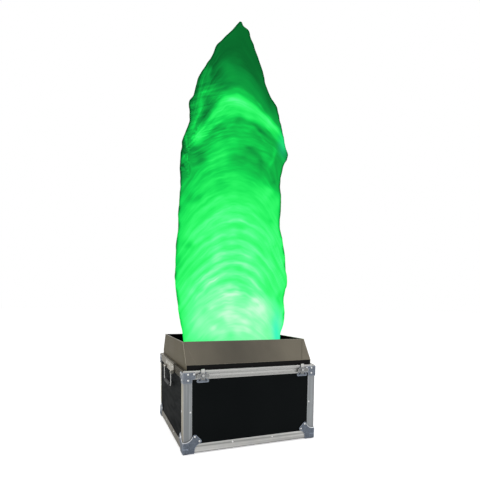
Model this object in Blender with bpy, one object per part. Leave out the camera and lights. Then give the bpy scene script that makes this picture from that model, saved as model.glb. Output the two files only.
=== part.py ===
"""Flame effect light: a silk flame blown up and lit from a base built as a flight case.

Run with blender --background --python part.py, or from Blender's text editor.
Metres, +Z up, front towards -Y. The origin is the middle of the footprint, on the floor.
"""
import math

import bmesh
import bpy
from mathutils import Matrix, Vector

# Clearances
GAP = 0.0003            # between pieces that touch
RUN = 0.0001            # round a turning or sliding pin, on the radius

# Case: plywood panels held by aluminium extrusions
CASE_W = 0.500          # across the extrusions, X
CASE_D = 0.490          # across the extrusions, Y
CASE_H = 0.282          # floor to the top of the rim
PANEL_T = 0.009
EDGE_T = 0.0015         # wall of the angle extrusion
EDGE_LEG = 0.030        # leg of the angle extrusion
EDGE_R = 0.003          # its outer rounding
RIM_H = 0.029           # outer leg of the closing extrusion
RIM_TOP_T = 0.003
RIM_LEG = 0.012         # inner leg of the closing extrusion
RIM_LEG_T = 0.0012
RIM_CHAMFER = 0.001
RIM_GROOVES = 3
RIM_GROOVE_W = 0.002
RIM_GROOVE_DEPTH = 0.0006
TONGUE_W = 0.003        # slot in the rim that takes the lid's tongue
TONGUE_DEPTH = 0.0016

# Ball corners, one on each lower corner
BALL_RISE = 0.004       # how far a ball stands out of the extrusions
BALL_REACH = 0.020
BALL_R = 0.008
LEAF_T = 0.0015
LEAF_REACH = 0.038      # along each edge of the case
LEAF_STRAIGHT = 0.006   # from the case's edge to where a leaf draws in
LOBE_NEAR = 0.039       # a lobe's two rivets, measured along the two edges
LOBE_FAR = 0.055
LOBE_R = 0.0075

# Corner braces, one on each upper corner
BRACE_T = 0.0012
BRACE_DROP = 0.005      # below the top of the rim
BRACE_H = 0.037
BRACE_BAR_H = 0.0235
BRACE_REACH = 0.041
BRACE_R = 0.005

# Butterfly latches on the front
LATCH_LEFT_IN = 0.066   # from the case's side to a latch's pin
LATCH_RIGHT_IN = 0.056
LATCH_PIN_DROP = 0.017  # from the top of the rim to the pin
LATCH_PLATE_T = 0.0012
LATCH_PLATE_W = 0.042   # at its foot
LATCH_FOOT_UP = 0.0025  # from the rivet holes to the top of its foot
LATCH_FOOT_R = 0.005
LATCH_WAIST_W = 0.028
LATCH_HEAD_W = 0.025    # at its top
LATCH_PLATE_UP = 0.011
LATCH_PLATE_DOWN = 0.023
LATCH_PLATE_R = 0.003
LATCH_HOLE_R = 0.0022
LATCH_HOLE_X = 0.011
LATCH_HOLE_DROP = 0.015
LATCH_PIN_R = 0.003
LATCH_HEAD_R = 0.005
LATCH_HEAD_T = 0.0014
RAIL_T = 0.0014         # side rails that guide the hook
RAIL_LOW = 0.0035
HOOK_W = 0.0124
HOOK_T = 0.0016
HOOK_RISE = 0.005       # top of the claw above the rim
HOOK_CLAW_H = 0.0036
HOOK_CLAW_IN = 0.003    # how far the claw reaches in over the rim
HOOK_TRAVEL = 0.008
HOOK_TAIL = 0.003       # metal below the slot
HOOK_CORNER_R = 0.002
WING_T = 0.0016
WING_DISC_R = 0.009
WING_SPAN = 0.042
WING_EAR_W = 0.015
WING_LIFT = 0.0055      # how far the ears stand out of the disc
WING_TIP_R = 0.005
WING_ROOT = 0.0056       # the ears start here, inside the disc
WING_BEND = 0.0086       # and rise from here

# Lift-off hinge halves on the rear
HINGE_IN = 0.100        # from the case's side to a hinge's middle
HINGE_PLATE_W = 0.050
HINGE_PLATE_H = 0.025
HINGE_PLATE_T = 0.0015
HINGE_BARREL_R = 0.005
HINGE_BARREL_LEN = 0.022
HINGE_PLATE_R = 0.004
HINGE_WEB_H = 0.006      # curl between the plate and the barrel
HINGE_PIN_R = 0.0025
HINGE_PIN_LEN = 0.018

# Drop handles on the sides
HANDLE_PLATE_W = 0.165
HANDLE_PLATE_H = 0.032
HANDLE_PLATE_T = 0.0012
HANDLE_PLATE_R = 0.006
HANDLE_TOP_DROP = 0.004
BAIL_R = 0.003
BAIL_SPAN = 0.140       # between the middles of its arms
BAIL_DROP = 0.053
BAIL_BEND = 0.010
BAIL_STUB = 0.008
BAIL_OUT = 0.0085       # its middle line, out of the case
BAIL_PIVOT_UP = 0.006   # above the plate's lower edge
EAR_T = 0.004
EAR_R = 0.006
GRIP_LEN = 0.100
GRIP_R = 0.0065
GRIP_BEAD_R = 0.0075
GRIP_BEAD_W = 0.006
GRIP_BEAD_ROUND = 0.001

# Deck: a folded sheet that closes the case and carries fans, lamps and collar
DECK_Z = 0.240          # top of its floor
DECK_T = 0.0015
DECK_SKIRT = 0.016      # how far its front and rear walls stand above the rim
DECK_FLANGE = 0.025     # side flanges, turned down

# Collar round the foot of the flame
COLLAR_T = 0.0015
COLLAR_TOP = 0.372
COLLAR_LEAN = 0.0524    # how far the front and rear walls lean in
COLLAR_LIP = 0.010
COLLAR_FOLD_LOW = 0.036  # the side walls' folds over the front and rear walls
COLLAR_FOLD_HIGH = 0.007

# Axial fans
FAN_SIDE = 0.200
FAN_SPACE = 0.010       # between the two fans
FAN_CORNER_R = 0.014
FAN_H = 0.050
FAN_BORE_R = 0.091
FAN_FLANGE_T = 0.005
FAN_RING_T = 0.004
FAN_HOLE_R = 0.0025
FAN_HOLE_IN = 0.010
MOTOR_R = 0.033
MOTOR_H = 0.020
STRUT_W = 0.008
STRUT_H = 0.007
SHAFT_R = 0.003
SHAFT_LEN = 0.018
HUB_R = 0.036
HUB_H = 0.025
HUB_ROUND = 0.004
HUB_CLEAR = 0.0015
HUB_SIDES = 42
BLADES = 7
BLADE_SINK = 0.0025      # how far a blade's root lies inside the hub
BLADE_STATIONS = 4
BLADE_TIP_CLEAR = 0.0025
BLADE_ROOT_CHORD = 0.032
BLADE_TIP_CHORD = 0.056
BLADE_ROOT_PITCH = math.radians(42)
BLADE_TIP_PITCH = math.radians(23)
BLADE_SWEEP = math.radians(14)
BLADE_T = 0.0022
BLADE_CAMBER = 0.0022

# Lamp bars
LAMP_IN = 0.1014        # from the deck's wall to a lamp's middle
LAMP_END = 0.0459       # from the collar's side wall to a lamp's end
LAMP_W = 0.046
LAMP_LOW = 0.020        # height on the side of the flame
LAMP_HIGH = 0.036       # height on the side of the wall
LAMP_FIN_DEPTH = 0.006
LAMP_FIN_W = 0.0035
LAMP_FINS = 3
LENS_T = 0.003
LENS_W = 0.036
LENS_MARGIN = 0.010
LENSES = 8
LENS_R = 0.014
LENS_DOME = 0.005
LENS_SIDES = 12
LENS_RINGS = 3

# Bar that the silk is tied to
BAR_R = 0.004
BAR_END = 0.0129        # from the collar's side wall to the bar's end
BAR_UP = 0.022          # its middle line above the deck
BRACKET_T = 0.002
BRACKET_D = 0.024
BRACKET_FOOT = 0.011    # towards the flame's ends
BRACKET_CAP = 0.002     # metal above the bar

# Silk flame, blown up
SILK_H = 1.338          # from the bar to its tip
SILK_LEFT_OVER = 0.010  # widest reach to each side, past the bar's end
SILK_RIGHT_OVER = 0.035
SILK_T = 0.003
SILK_ROWS = 50
SILK_COLUMNS = 10
SILK_RIPPLE = 0.008
SILK_RIPPLE_PITCH = 0.150
SILK_BOW_R = 0.555      # radius of the bowed ripples
SILK_SLANT_DEG = 4.1    # their fall from left to right
SILK_BILLOW = 0.024
SILK_BILLOWS = 1.5      # waves of the billow over the height
SILK_STILL = 0.120      # the stretch above the bar that hardly moves
# The flame's edges: share of the height, then share of the reach to that side
SILK_LEFT_EDGE = ((0.00, 0.82), (0.10, 0.87), (0.15, 0.91), (0.21, 0.965), (0.29, 0.99), (0.39, 0.97),
                  (0.48, 0.94), (0.61, 0.91), (0.64, 0.88), (0.68, 0.78), (0.71, 0.745), (0.75, 0.75),
                  (0.78, 0.66), (0.83, 0.58), (0.88, 0.41), (0.93, 0.24), (0.97, 0.05), (1.00, -0.10))
SILK_RIGHT_EDGE = ((0.00, 0.83), (0.08, 0.89), (0.11, 0.955), (0.15, 0.985), (0.20, 1.00), (0.29, 0.99),
                   (0.33, 0.95), (0.38, 0.85), (0.45, 0.80), (0.55, 0.80), (0.60, 0.83), (0.645, 0.96),
                   (0.67, 0.92), (0.72, 0.87), (0.79, 0.80), (0.82, 0.66), (0.85, 0.57), (0.90, 0.52),
                   (0.95, 0.34), (0.965, 0.27), (0.983, 0.23), (0.989, 0.155), (1.00, 0.12))

# Rear panel fittings
INLET_IN = 0.100        # from the case's right side to the inlet's middle
FITTING_Z = 0.080
INLET_FLANGE_W = 0.050
INLET_FLANGE_H = 0.023
INLET_FLANGE_T = 0.003
INLET_FLANGE_R = 0.004
INLET_BODY_W = 0.027
INLET_BODY_H = 0.020
INLET_BODY_DEPTH = 0.034
INLET_CAVITY_W = 0.024
INLET_CAVITY_H = 0.016
INLET_CAVITY_DEPTH = 0.017
INLET_CAVITY_CHAMFER = 0.004
INLET_BLADE_W = 0.002
INLET_BLADE_H = 0.004
INLET_BLADE_LEN = 0.0115
INLET_BLADE_X = 0.007
INLET_BLADE_Z = 0.002
SWITCH_NEXT = 0.050      # from the inlet's middle to the switch's
SWITCH_W = 0.022
SWITCH_H = 0.030
SWITCH_FLANGE_T = 0.002
SWITCH_LIP = 0.0018     # flange past the body, all round
SWITCH_DEPTH = 0.026
SWITCH_WELL = 0.014
SWITCH_WALL = 0.0018
SWITCH_CORNER_R = 0.002
ROCKER_CLEAR = 0.0006
ROCKER_SWING = math.radians(7)
ROCKER_PEAK = 0.0034
ROCKER_VALLEY = 0.0012
ROCKER_PIVOT_IN = 0.002
ROCKER_DEPTH = 0.005
ROCKER_TAPER = 0.0013     # how far its sides draw in towards its foot
VENTS = 9
VENT_W = 0.006
VENT_H = 0.070
VENT_PITCH = 0.014
VENT_IN = 0.130          # from the case's left side to the middle slot

# Power supply of the lamps
SUPPLY_L = 0.160
SUPPLY_W = 0.095
SUPPLY_H = 0.040
SUPPLY_IN = 0.140        # from the case's left side to its middle
SUPPLY_Y = 0.080
SUPPLY_EAR = 0.014
SUPPLY_EAR_T = 0.0015
SUPPLY_R = 0.002

# Worked out from the above
HALF_W = CASE_W / 2
HALF_D = CASE_D / 2
SKIN = EDGE_T + GAP                     # panels lie this far inside the extrusions' faces
BASE_LOW = BALL_RISE + SKIN
BASE_TOP = BASE_LOW + PANEL_T
WALL_LOW = BASE_TOP + GAP
WALL_TOP = CASE_H - RIM_TOP_T - GAP
RIM_LOW = CASE_H - RIM_H
RIM_W = SKIN + PANEL_T + GAP + RIM_LEG_T
INNER_W = HALF_W - SKIN - PANEL_T       # inner faces of the walls
INNER_D = HALF_D - SKIN - PANEL_T
MITRE = GAP / math.sqrt(2)
COLLAR_X = HALF_W - RIM_W - GAP         # outer face of the collar's side walls
COLLAR_Y = HALF_D - RIM_W - GAP         # outer face of the deck's front and rear walls
SKIRT_TOP = CASE_H + DECK_SKIRT
DECK_LOW = DECK_Z - DECK_T
FAN_TOP = DECK_LOW - GAP
FAN_LOW = FAN_TOP - FAN_H
BAR_Z = DECK_Z + GAP + BAR_UP
SILK_LOW = BAR_Z + BAR_R + GAP
BAR_LEN = 2 * (COLLAR_X - COLLAR_T - BAR_END)
SILK_LEFT = BAR_LEN / 2 + SILK_LEFT_OVER
SILK_RIGHT = BAR_LEN / 2 + SILK_RIGHT_OVER
LAMP_LEN = 2 * (COLLAR_X - COLLAR_T - LAMP_END)
LAMP_Y = COLLAR_Y - LAMP_IN
MOUTH_Y = COLLAR_Y - COLLAR_LEAN        # outer edge of the collar's mouth
FAN_X = (FAN_SIDE + FAN_SPACE) / 2
LATCH_PINS = {"left": LATCH_LEFT_IN - HALF_W, "right": HALF_W - LATCH_RIGHT_IN}
HINGE_X = HALF_W - HINGE_IN
INLET_X = HALF_W - INLET_IN
SWITCH_X = INLET_X - SWITCH_NEXT
VENT_X = VENT_IN - HALF_W
SUPPLY_X = SUPPLY_IN - HALF_W
LATCH_PIN_Z = CASE_H - LATCH_PIN_DROP
HOOK_OUT = GAP + LATCH_PLATE_T + GAP    # inner face of the hook, out of the case
WING_OUT = HOOK_OUT + HOOK_T + GAP
LATCH_REACH = WING_OUT + WING_T + WING_LIFT
HANDLE_TOP = CASE_H - HANDLE_TOP_DROP
HANDLE_LOW = HANDLE_TOP - HANDLE_PLATE_H
BAIL_PIVOT_Z = HANDLE_LOW + BAIL_PIVOT_UP
REAR_FACE = HALF_D - SKIN               # outer face of the rear panel

SIDES = (("left", -1), ("right", 1))
ENDS = (("front", -1), ("rear", 1))


# Modelling helpers

def clear_scene():
    """Removes what a new file holds."""
    for thing in list(bpy.data.objects):
        bpy.data.objects.remove(thing)


def material(name, colour, roughness, metallic=0.0, glow=0.0):
    """One Principled material."""
    made = bpy.data.materials.new(name)
    made.use_nodes = True
    shader = made.node_tree.nodes["Principled BSDF"]
    shader.inputs["Base Color"].default_value = (*colour, 1.0)
    shader.inputs["Roughness"].default_value = roughness
    shader.inputs["Metallic"].default_value = metallic
    if glow:
        shader.inputs["Emission Color"].default_value = (*colour, 1.0)
        shader.inputs["Emission Strength"].default_value = glow
    made.diffuse_color = (*colour, 1.0)
    return made


def solid(bm):
    """An object from a bmesh, in world coordinates, with its faces turned outwards."""
    bmesh.ops.recalc_face_normals(bm, faces=bm.faces)
    mesh = bpy.data.meshes.new("shape")
    bm.to_mesh(mesh)
    bm.free()
    made = bpy.data.objects.new("shape", mesh)
    bpy.context.scene.collection.objects.link(made)
    return made


def prism(outline, span):
    """A closed solid: a flat outline of 3-D points carried along a vector."""
    bm = bmesh.new()
    near = [bm.verts.new(p) for p in outline]
    far = [bm.verts.new(Vector(p) + Vector(span)) for p in outline]
    bm.faces.new(near)
    bm.faces.new(list(reversed(far)))
    for i in range(len(near)):
        j = (i + 1) % len(near)
        bm.faces.new((near[i], far[i], far[j], near[j]))
    return solid(bm)


def box(low, high):
    """A box between two corners."""
    x0, y0, z0 = low
    x1, y1, z1 = high
    return prism([(x0, y0, z0), (x1, y0, z0), (x1, y1, z0), (x0, y1, z0)], (0, 0, z1 - z0))


def circle(radius, sides, centre=(0.0, 0.0)):
    """Points of a regular polygon that touches the circle with its corners."""
    turn = 2 * math.pi / sides
    return [(centre[0] + radius * math.cos(turn * i), centre[1] + radius * math.sin(turn * i))
            for i in range(sides)]


def rod(start, end, radius, sides=24):
    """A cylinder between two points."""
    along = Vector(end) - Vector(start)
    turn = along.to_track_quat("Z", "Y")
    ring = [Vector(start) + turn @ Vector((u, v, 0)) for u, v in circle(radius, sides)]
    return prism(ring, along)


def rounded(points, radius, steps=3):
    """A flat outline with each corner replaced by an arc. A radius of 0 keeps the corner."""
    radii = radius if isinstance(radius, (list, tuple)) else [radius] * len(points)
    made = []
    for i, here in enumerate(points):
        here = Vector(here)
        if not radii[i]:
            made.append(tuple(here))
            continue
        back = (Vector(points[i - 1]) - here).normalized()
        ahead = (Vector(points[(i + 1) % len(points)]) - here).normalized()
        half = back.angle(ahead) / 2
        reach = radii[i] / math.tan(half)
        middle = here + (back + ahead).normalized() * (radii[i] / math.sin(half))
        first = here + back * reach - middle
        last = here + ahead * reach - middle
        sweep = math.atan2(first.x * last.y - first.y * last.x, first.dot(last))
        for k in range(steps + 1):
            arm = Matrix.Rotation(sweep * k / steps, 2) @ first
            made.append(tuple(middle + arm))
    return made


def rectangle(half_w, half_h, centre=(0.0, 0.0)):
    """Corners of a rectangle, in order."""
    u, v = centre
    return [(u - half_w, v - half_h), (u + half_w, v - half_h),
            (u + half_w, v + half_h), (u - half_w, v + half_h)]


def combine(body, tools, operation, solver="EXACT"):
    """Joins tools to a body or cuts them out of it, and removes them."""
    for tool in tools:
        step = body.modifiers.new(operation.title(), "BOOLEAN")
        step.operation = operation
        step.solver = solver
        step.object = tool
        graph = bpy.context.evaluated_depsgraph_get()
        mesh = bpy.data.meshes.new_from_object(body.evaluated_get(graph))
        body.modifiers.clear()
        body.data = mesh
        bpy.data.objects.remove(tool)
    return body


def join(body, *tools):
    return combine(body, tools, "UNION")


def cut(body, *tools):
    return combine(body, tools, "DIFFERENCE")


def joined_shells(shapes):
    """Several shapes that don't touch, as one object."""
    bm = bmesh.new()
    for shape in shapes:
        bm.from_mesh(shape.data)
        bpy.data.objects.remove(shape)
    return solid(bm)


def mirrored(shape, sign_x, sign_y):
    """A copy of a shape, reflected across the middle planes."""
    mesh = shape.data.copy()
    mesh.transform(Matrix.Diagonal((sign_x, sign_y, 1, 1)))
    if sign_x * sign_y < 0:
        mesh.flip_normals()
    made = bpy.data.objects.new("shape", mesh)
    bpy.context.scene.collection.objects.link(made)
    return made


def group(name, place):
    """An empty that carries pieces which belong together."""
    made = bpy.data.objects.new(name, None)
    made.empty_display_size = 0.02
    made.location = place
    bpy.context.scene.collection.objects.link(made)
    return made


def piece(shape, name, finish, carrier, origin=(0.0, 0.0, 0.0)):
    """Names a shape, moves its origin, hangs it under its group and gives it its material."""
    shape.name = name
    shape.data.name = name
    shape.data.transform(Matrix.Translation(-Vector(origin)))
    shape.parent = carrier
    shape.location = Vector(origin) - carrier.location
    shape.data.materials.clear()
    shape.data.materials.append(finish)
    shape.data.shade_smooth()
    shape.data.set_sharp_from_angle(angle=math.radians(32))
    return shape


# Case

def panels(carrier, laminate):
    """Five plywood panels. The base lies under the walls, the side walls between front and rear."""
    wide = HALF_W - SKIN
    deep = HALF_D - SKIN
    between = INNER_D - GAP
    piece(box((-wide, -deep, BASE_LOW), (wide, deep, BASE_TOP)), "panel_base", laminate, carrier)
    front = box((-wide, -deep, WALL_LOW), (wide, -INNER_D, WALL_TOP))
    piece(front, "panel_front", laminate, carrier)
    rear = box((-wide, INNER_D, WALL_LOW), (wide, deep, WALL_TOP))
    piece(cut(rear, *rear_cutouts()), "panel_rear", laminate, carrier)
    for side, sign in SIDES:
        low, high = sorted((sign * INNER_W, sign * wide))
        wall = box((low, -between, WALL_LOW), (high, between, WALL_TOP))
        piece(wall, "panel_" + side, laminate, carrier)


def rear_cutouts():
    """Cutters for the inlet, the switch and the air intake."""
    inlet_w = INLET_BODY_W / 2 + GAP
    inlet_h = INLET_BODY_H / 2 + GAP
    switch_w = SWITCH_W / 2 + GAP
    switch_h = SWITCH_H / 2 + GAP
    low_y = INNER_D - PANEL_T
    high_y = REAR_FACE + PANEL_T
    tools = [
        box((INLET_X - inlet_w, low_y, FITTING_Z - inlet_h),
            (INLET_X + inlet_w, high_y, FITTING_Z + inlet_h)),
        box((SWITCH_X - switch_w, low_y, FITTING_Z - switch_h),
            (SWITCH_X + switch_w, high_y, FITTING_Z + switch_h)),
    ]
    for i in range(VENTS):
        middle = VENT_X + (i - (VENTS - 1) / 2) * VENT_PITCH
        slot = rounded(rectangle(VENT_W / 2, VENT_H / 2, (middle, FITTING_Z)), VENT_W * 0.49, 2)
        tools.append(prism([(x, low_y, z) for x, z in slot], (0, high_y - low_y, 0)))
    return [joined_shells(tools)]


def mitred(profile, along, end):
    """An extrusion with mitred ends on one side of the case.

    The profile's points are (depth in from the case's face, height). Along is X or Y.
    """
    own, other = (HALF_W, HALF_D) if along == "X" else (HALF_D, HALF_W)
    rings = []
    for sign in (-1, 1):
        ring = []
        for depth, height in profile:
            run = sign * (own - depth - MITRE)
            across = end * (other - depth)
            ring.append((run, across, height) if along == "X" else (across, run, height))
        rings.append(ring)
    bm = bmesh.new()
    near = [bm.verts.new(p) for p in rings[0]]
    far = [bm.verts.new(p) for p in rings[1]]
    bm.faces.new(near)
    bm.faces.new(list(reversed(far)))
    for i in range(len(near)):
        j = (i + 1) % len(near)
        bm.faces.new((near[i], far[i], far[j], near[j]))
    return solid(bm)


def angle_profile():
    """The base edge's section: an angle whose outer corner is rounded."""
    low = BALL_RISE
    corners = [(0, low), (EDGE_LEG, low), (EDGE_LEG, low + EDGE_T), (EDGE_T, low + EDGE_T),
               (EDGE_T, low + EDGE_LEG), (0, low + EDGE_LEG)]
    return rounded(corners, [EDGE_R, 0, 0, 0, 0, 0], 4)


def rim_profile():
    """The closing extrusion's section: grooved outer leg, tongue slot on top, short inner leg."""
    outer = [(0, RIM_LOW)]
    pitch = RIM_H / (RIM_GROOVES + 1)
    for i in range(RIM_GROOVES):
        low = RIM_LOW + pitch * (i + 1) - RIM_GROOVE_W / 2
        outer += [(0, low), (RIM_GROOVE_DEPTH, low), (RIM_GROOVE_DEPTH, low + RIM_GROOVE_W),
                  (0, low + RIM_GROOVE_W)]
    middle = RIM_W / 2
    floor = CASE_H - TONGUE_DEPTH
    top = [(0, CASE_H - RIM_CHAMFER), (RIM_CHAMFER, CASE_H),
           (middle - TONGUE_W / 2, CASE_H), (middle - TONGUE_W / 2, floor),
           (middle + TONGUE_W / 2, floor), (middle + TONGUE_W / 2, CASE_H), (RIM_W, CASE_H)]
    under = CASE_H - RIM_TOP_T
    inner = [(RIM_W, CASE_H - RIM_LEG), (RIM_W - RIM_LEG_T, CASE_H - RIM_LEG),
             (RIM_W - RIM_LEG_T, under), (EDGE_T, under), (EDGE_T, RIM_LOW)]
    return outer + top + inner


def extrusions(carrier, alloy):
    """Base edges, rims and corner posts."""
    for name, profile in (("base_edge_", angle_profile()), ("rim_", rim_profile())):
        for end, sign in ENDS:
            piece(mitred(profile, "X", sign), name + end, alloy, carrier)
        for side, sign in SIDES:
            piece(mitred(profile, "Y", sign), name + side, alloy, carrier)
    low = BALL_RISE + EDGE_LEG + GAP
    section = rounded([(0, 0), (EDGE_LEG, 0), (EDGE_LEG, EDGE_T), (EDGE_T, EDGE_T),
                       (EDGE_T, EDGE_LEG), (0, EDGE_LEG)], [EDGE_R, 0, 0, 0, 0, 0], 4)
    post = prism([(u - HALF_W, v - HALF_D, low) for u, v in section], (0, 0, RIM_LOW - GAP - low))
    for_each_corner(post, "corner_post", alloy, carrier)


def for_each_corner(shape, name, finish, carrier):
    """Four copies of a front left corner piece."""
    for end, sign_y in ENDS:
        for side, sign_x in SIDES:
            copy = mirrored(shape, -sign_x, -sign_y)
            piece(copy, "_".join((name, end, side)), finish, carrier)
    bpy.data.objects.remove(shape)


def corner_envelope(low):
    """The space inside the case's front left corner that corner hardware stays out of."""
    return box((-HALF_W - GAP, -HALF_D - GAP, low), (0, 0, CASE_H * 2))


def leaf_outline():
    """One leaf of a ball corner: drawn in by two hollow arcs, then round its two rivets."""
    start = -GAP - LEAF_T
    across = LOBE_FAR - LEAF_REACH
    up = LOBE_NEAR - LEAF_STRAIGHT
    hollow = (across ** 2 + up ** 2 - LOBE_R ** 2) / (2 * (across + LOBE_R))
    meet = math.degrees(math.atan2(-up, hollow - across))
    half = arc((LEAF_REACH + hollow, LEAF_STRAIGHT), hollow, 180, 180 + meet, 5)
    half += arc((LOBE_FAR, LOBE_NEAR), LOBE_R, meet, 45, 4)[1:]
    return ([(start, start), (LEAF_REACH, start)] + half
            + [(v, u) for u, v in reversed(half)] + [(start, LEAF_REACH)])


def arc(centre, radius, first, last, steps):
    """Points of an arc between two angles in degrees."""
    turn = [math.radians(first + (last - first) * i / steps) for i in range(steps + 1)]
    return [(centre[0] + radius * math.cos(a), centre[1] + radius * math.sin(a)) for a in turn]


def ball_corner():
    """Three leaves that meet in a rounded ball, pressed over the front left corner."""
    outline = leaf_outline()
    deep = GAP + LEAF_T * 2
    out = -GAP - LEAF_T
    place = Vector((-HALF_W, -HALF_D, BALL_RISE))
    on_front = prism([place + Vector((u, out, w)) for u, w in outline], (0, deep, 0))
    on_side = prism([place + Vector((out, v, w)) for v, w in outline], (deep, 0, 0))
    under = prism([place + Vector((u, v, out)) for u, v in outline], (0, 0, deep))
    ball = box(place - Vector((BALL_RISE,) * 3), place + Vector((BALL_REACH,) * 3))
    rounding = ball.modifiers.new("Rounding", "BEVEL")
    rounding.width = BALL_R
    rounding.segments = 4
    made = combine(ball, (on_front, on_side, under), "UNION", "MANIFOLD")
    return cut(made, corner_envelope(BALL_RISE - GAP))


def corner_brace():
    """An L-shaped plate on the front and on the side, folded round the upper corner."""
    out = -GAP - BRACE_T
    top = CASE_H - BRACE_DROP
    corners = [(out, top - BRACE_H), (EDGE_LEG, top - BRACE_H), (EDGE_LEG, top - BRACE_BAR_H),
               (BRACE_REACH, top - BRACE_BAR_H), (BRACE_REACH, top), (out, top)]
    outline = rounded(corners, [0, BRACE_R, BRACE_R / 2, BRACE_R, BRACE_R, 0])
    deep = GAP + BRACE_T * 2
    front = [(u - HALF_W, out - HALF_D, z) for u, z in outline]
    side = [(out - HALF_W, v - HALF_D, z) for v, z in outline]
    made = join(prism(front, (0, deep, 0)), prism(side, (deep, 0, 0)))
    return cut(made, corner_envelope(0.0))


def corner_hardware(carrier, zinc):
    for_each_corner(ball_corner(), "ball_corner", zinc, carrier)
    for_each_corner(corner_brace(), "corner_brace", zinc, carrier)


# Latches

def on_front(outline, out, thickness):
    """A plate on the front: outline in (x, z) round the latch's pin, from a distance out."""
    near = [(x, -HALF_D - out, z + LATCH_PIN_Z) for x, z in outline]
    return prism(near, (0, -thickness, 0))


def latch_plate():
    """Pressed plate with side rails, rivet holes and the headed pin that the wing turns on."""
    foot = LATCH_PLATE_W / 2
    waist = LATCH_WAIST_W / 2
    top = LATCH_HEAD_W / 2
    foot_top = LATCH_FOOT_UP - LATCH_HOLE_DROP
    left = [(-top, LATCH_PLATE_UP), (-waist, foot_top), (-foot, foot_top), (-foot, -LATCH_PLATE_DOWN)]
    right = [(-x, z) for x, z in reversed(left)]
    radii = [LATCH_PLATE_R, 0, LATCH_FOOT_R, LATCH_FOOT_R]
    plate = on_front(rounded(left + right, radii + radii[::-1]), GAP, LATCH_PLATE_T)
    holes = [on_front(circle(LATCH_HOLE_R, 16, (sign * LATCH_HOLE_X, -LATCH_HOLE_DROP)),
                      0, LATCH_PLATE_T + 2 * GAP) for _, sign in SIDES]
    plate = cut(plate, *holes)
    rail_x = HOOK_W / 2 + GAP + RAIL_T / 2
    for _, sign in SIDES:
        rail = rectangle(RAIL_T / 2, (LATCH_PLATE_UP - RAIL_LOW) / 2,
                         (sign * rail_x, (LATCH_PLATE_UP + RAIL_LOW) / 2 - GAP))
        plate = join(plate, on_front(rail, GAP + LATCH_PLATE_T / 2, LATCH_PLATE_T / 2 + GAP + HOOK_T))
    head_out = WING_OUT + WING_T + GAP
    pin = on_front(circle(LATCH_PIN_R, 24), GAP + LATCH_PLATE_T / 2, head_out - LATCH_PLATE_T / 2)
    head = on_front(circle(LATCH_HEAD_R, 24), head_out, LATCH_HEAD_T)
    return join(plate, join(pin, head))


def latch_hook():
    """Flat bar with a slot for the pin and a claw that reaches in over the rim."""
    half = HOOK_W / 2
    slot = LATCH_PIN_R + GAP
    low = -slot - HOOK_TRAVEL - HOOK_TAIL
    top = LATCH_PIN_DROP + HOOK_RISE
    blank = rectangle(half, (top - low) / 2, (0, (top + low) / 2))
    outline = rounded(blank, [HOOK_CORNER_R, HOOK_CORNER_R, 0, 0])
    bar = on_front(outline, HOOK_OUT, HOOK_T)
    claw_low = CASE_H + HOOK_RISE - HOOK_CLAW_H
    claw = box((-half, -HALF_D - HOOK_OUT - HOOK_T / 2, claw_low),
               (half, -HALF_D + HOOK_CLAW_IN, CASE_H + HOOK_RISE))
    bar = join(bar, claw)
    ring = [(slot * math.cos(a), slot * math.sin(a)) for a in arc_angles(0, 180, 6)]
    ring += [(slot * math.cos(a), slot * math.sin(a) - HOOK_TRAVEL) for a in arc_angles(180, 360, 6)]
    return cut(bar, on_front(ring, HOOK_OUT - GAP, HOOK_T + 2 * GAP))


def arc_angles(first, last, steps):
    """Evenly spaced angles in radians, from degrees."""
    return [math.radians(first + (last - first) * i / steps) for i in range(steps + 1)]


def latch_wing():
    """Round boss with two ears that rise from it, bent from one plate."""
    disc = on_front(circle(WING_DISC_R, 32), WING_OUT, WING_T)
    half_w = WING_EAR_W / 2
    ears = []
    for _, sign in SIDES:
        tip = WING_SPAN / 2
        profile = [(WING_ROOT, 0), (WING_BEND, 0), (tip, WING_LIFT), (tip, WING_LIFT + WING_T),
                   (WING_BEND, WING_T), (WING_ROOT, WING_T)]
        side = [(sign * x, -HALF_D - WING_OUT - out, LATCH_PIN_Z - half_w) for x, out in profile]
        ear = prism(side, (0, 0, 2 * half_w))
        shape = rounded(rectangle(tip / 2, half_w, (sign * tip / 2, 0)), WING_TIP_R)
        keep = on_front(shape, WING_OUT - GAP, WING_T + WING_LIFT + 2 * GAP)
        ears.append(combine(ear, [keep], "INTERSECT"))
    wing = join(disc, *ears)
    hole = on_front(circle(LATCH_PIN_R + RUN, 24), WING_OUT - GAP, WING_T + 2 * GAP)
    return cut(wing, hole)


def latches(case, zinc, steel):
    """Two butterfly latches. Turning a wing lifts its hook."""
    shapes = ((latch_plate(), "latch_plate_", zinc), (latch_hook(), "latch_hook_", steel),
              (latch_wing(), "latch_wing_", steel))
    for side, x in LATCH_PINS.items():
        pin = Vector((x, -HALF_D, LATCH_PIN_Z))
        carrier = group("latch_pin_" + side, pin)
        carrier.parent = case
        for shape, name, finish in shapes:
            copy = mirrored(shape, 1, 1)
            copy.data.transform(Matrix.Translation((x, 0, 0)))
            piece(copy, name + side, finish, carrier, pin)
    for shape, _, _ in shapes:
        bpy.data.objects.remove(shape)


# Hinges

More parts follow.
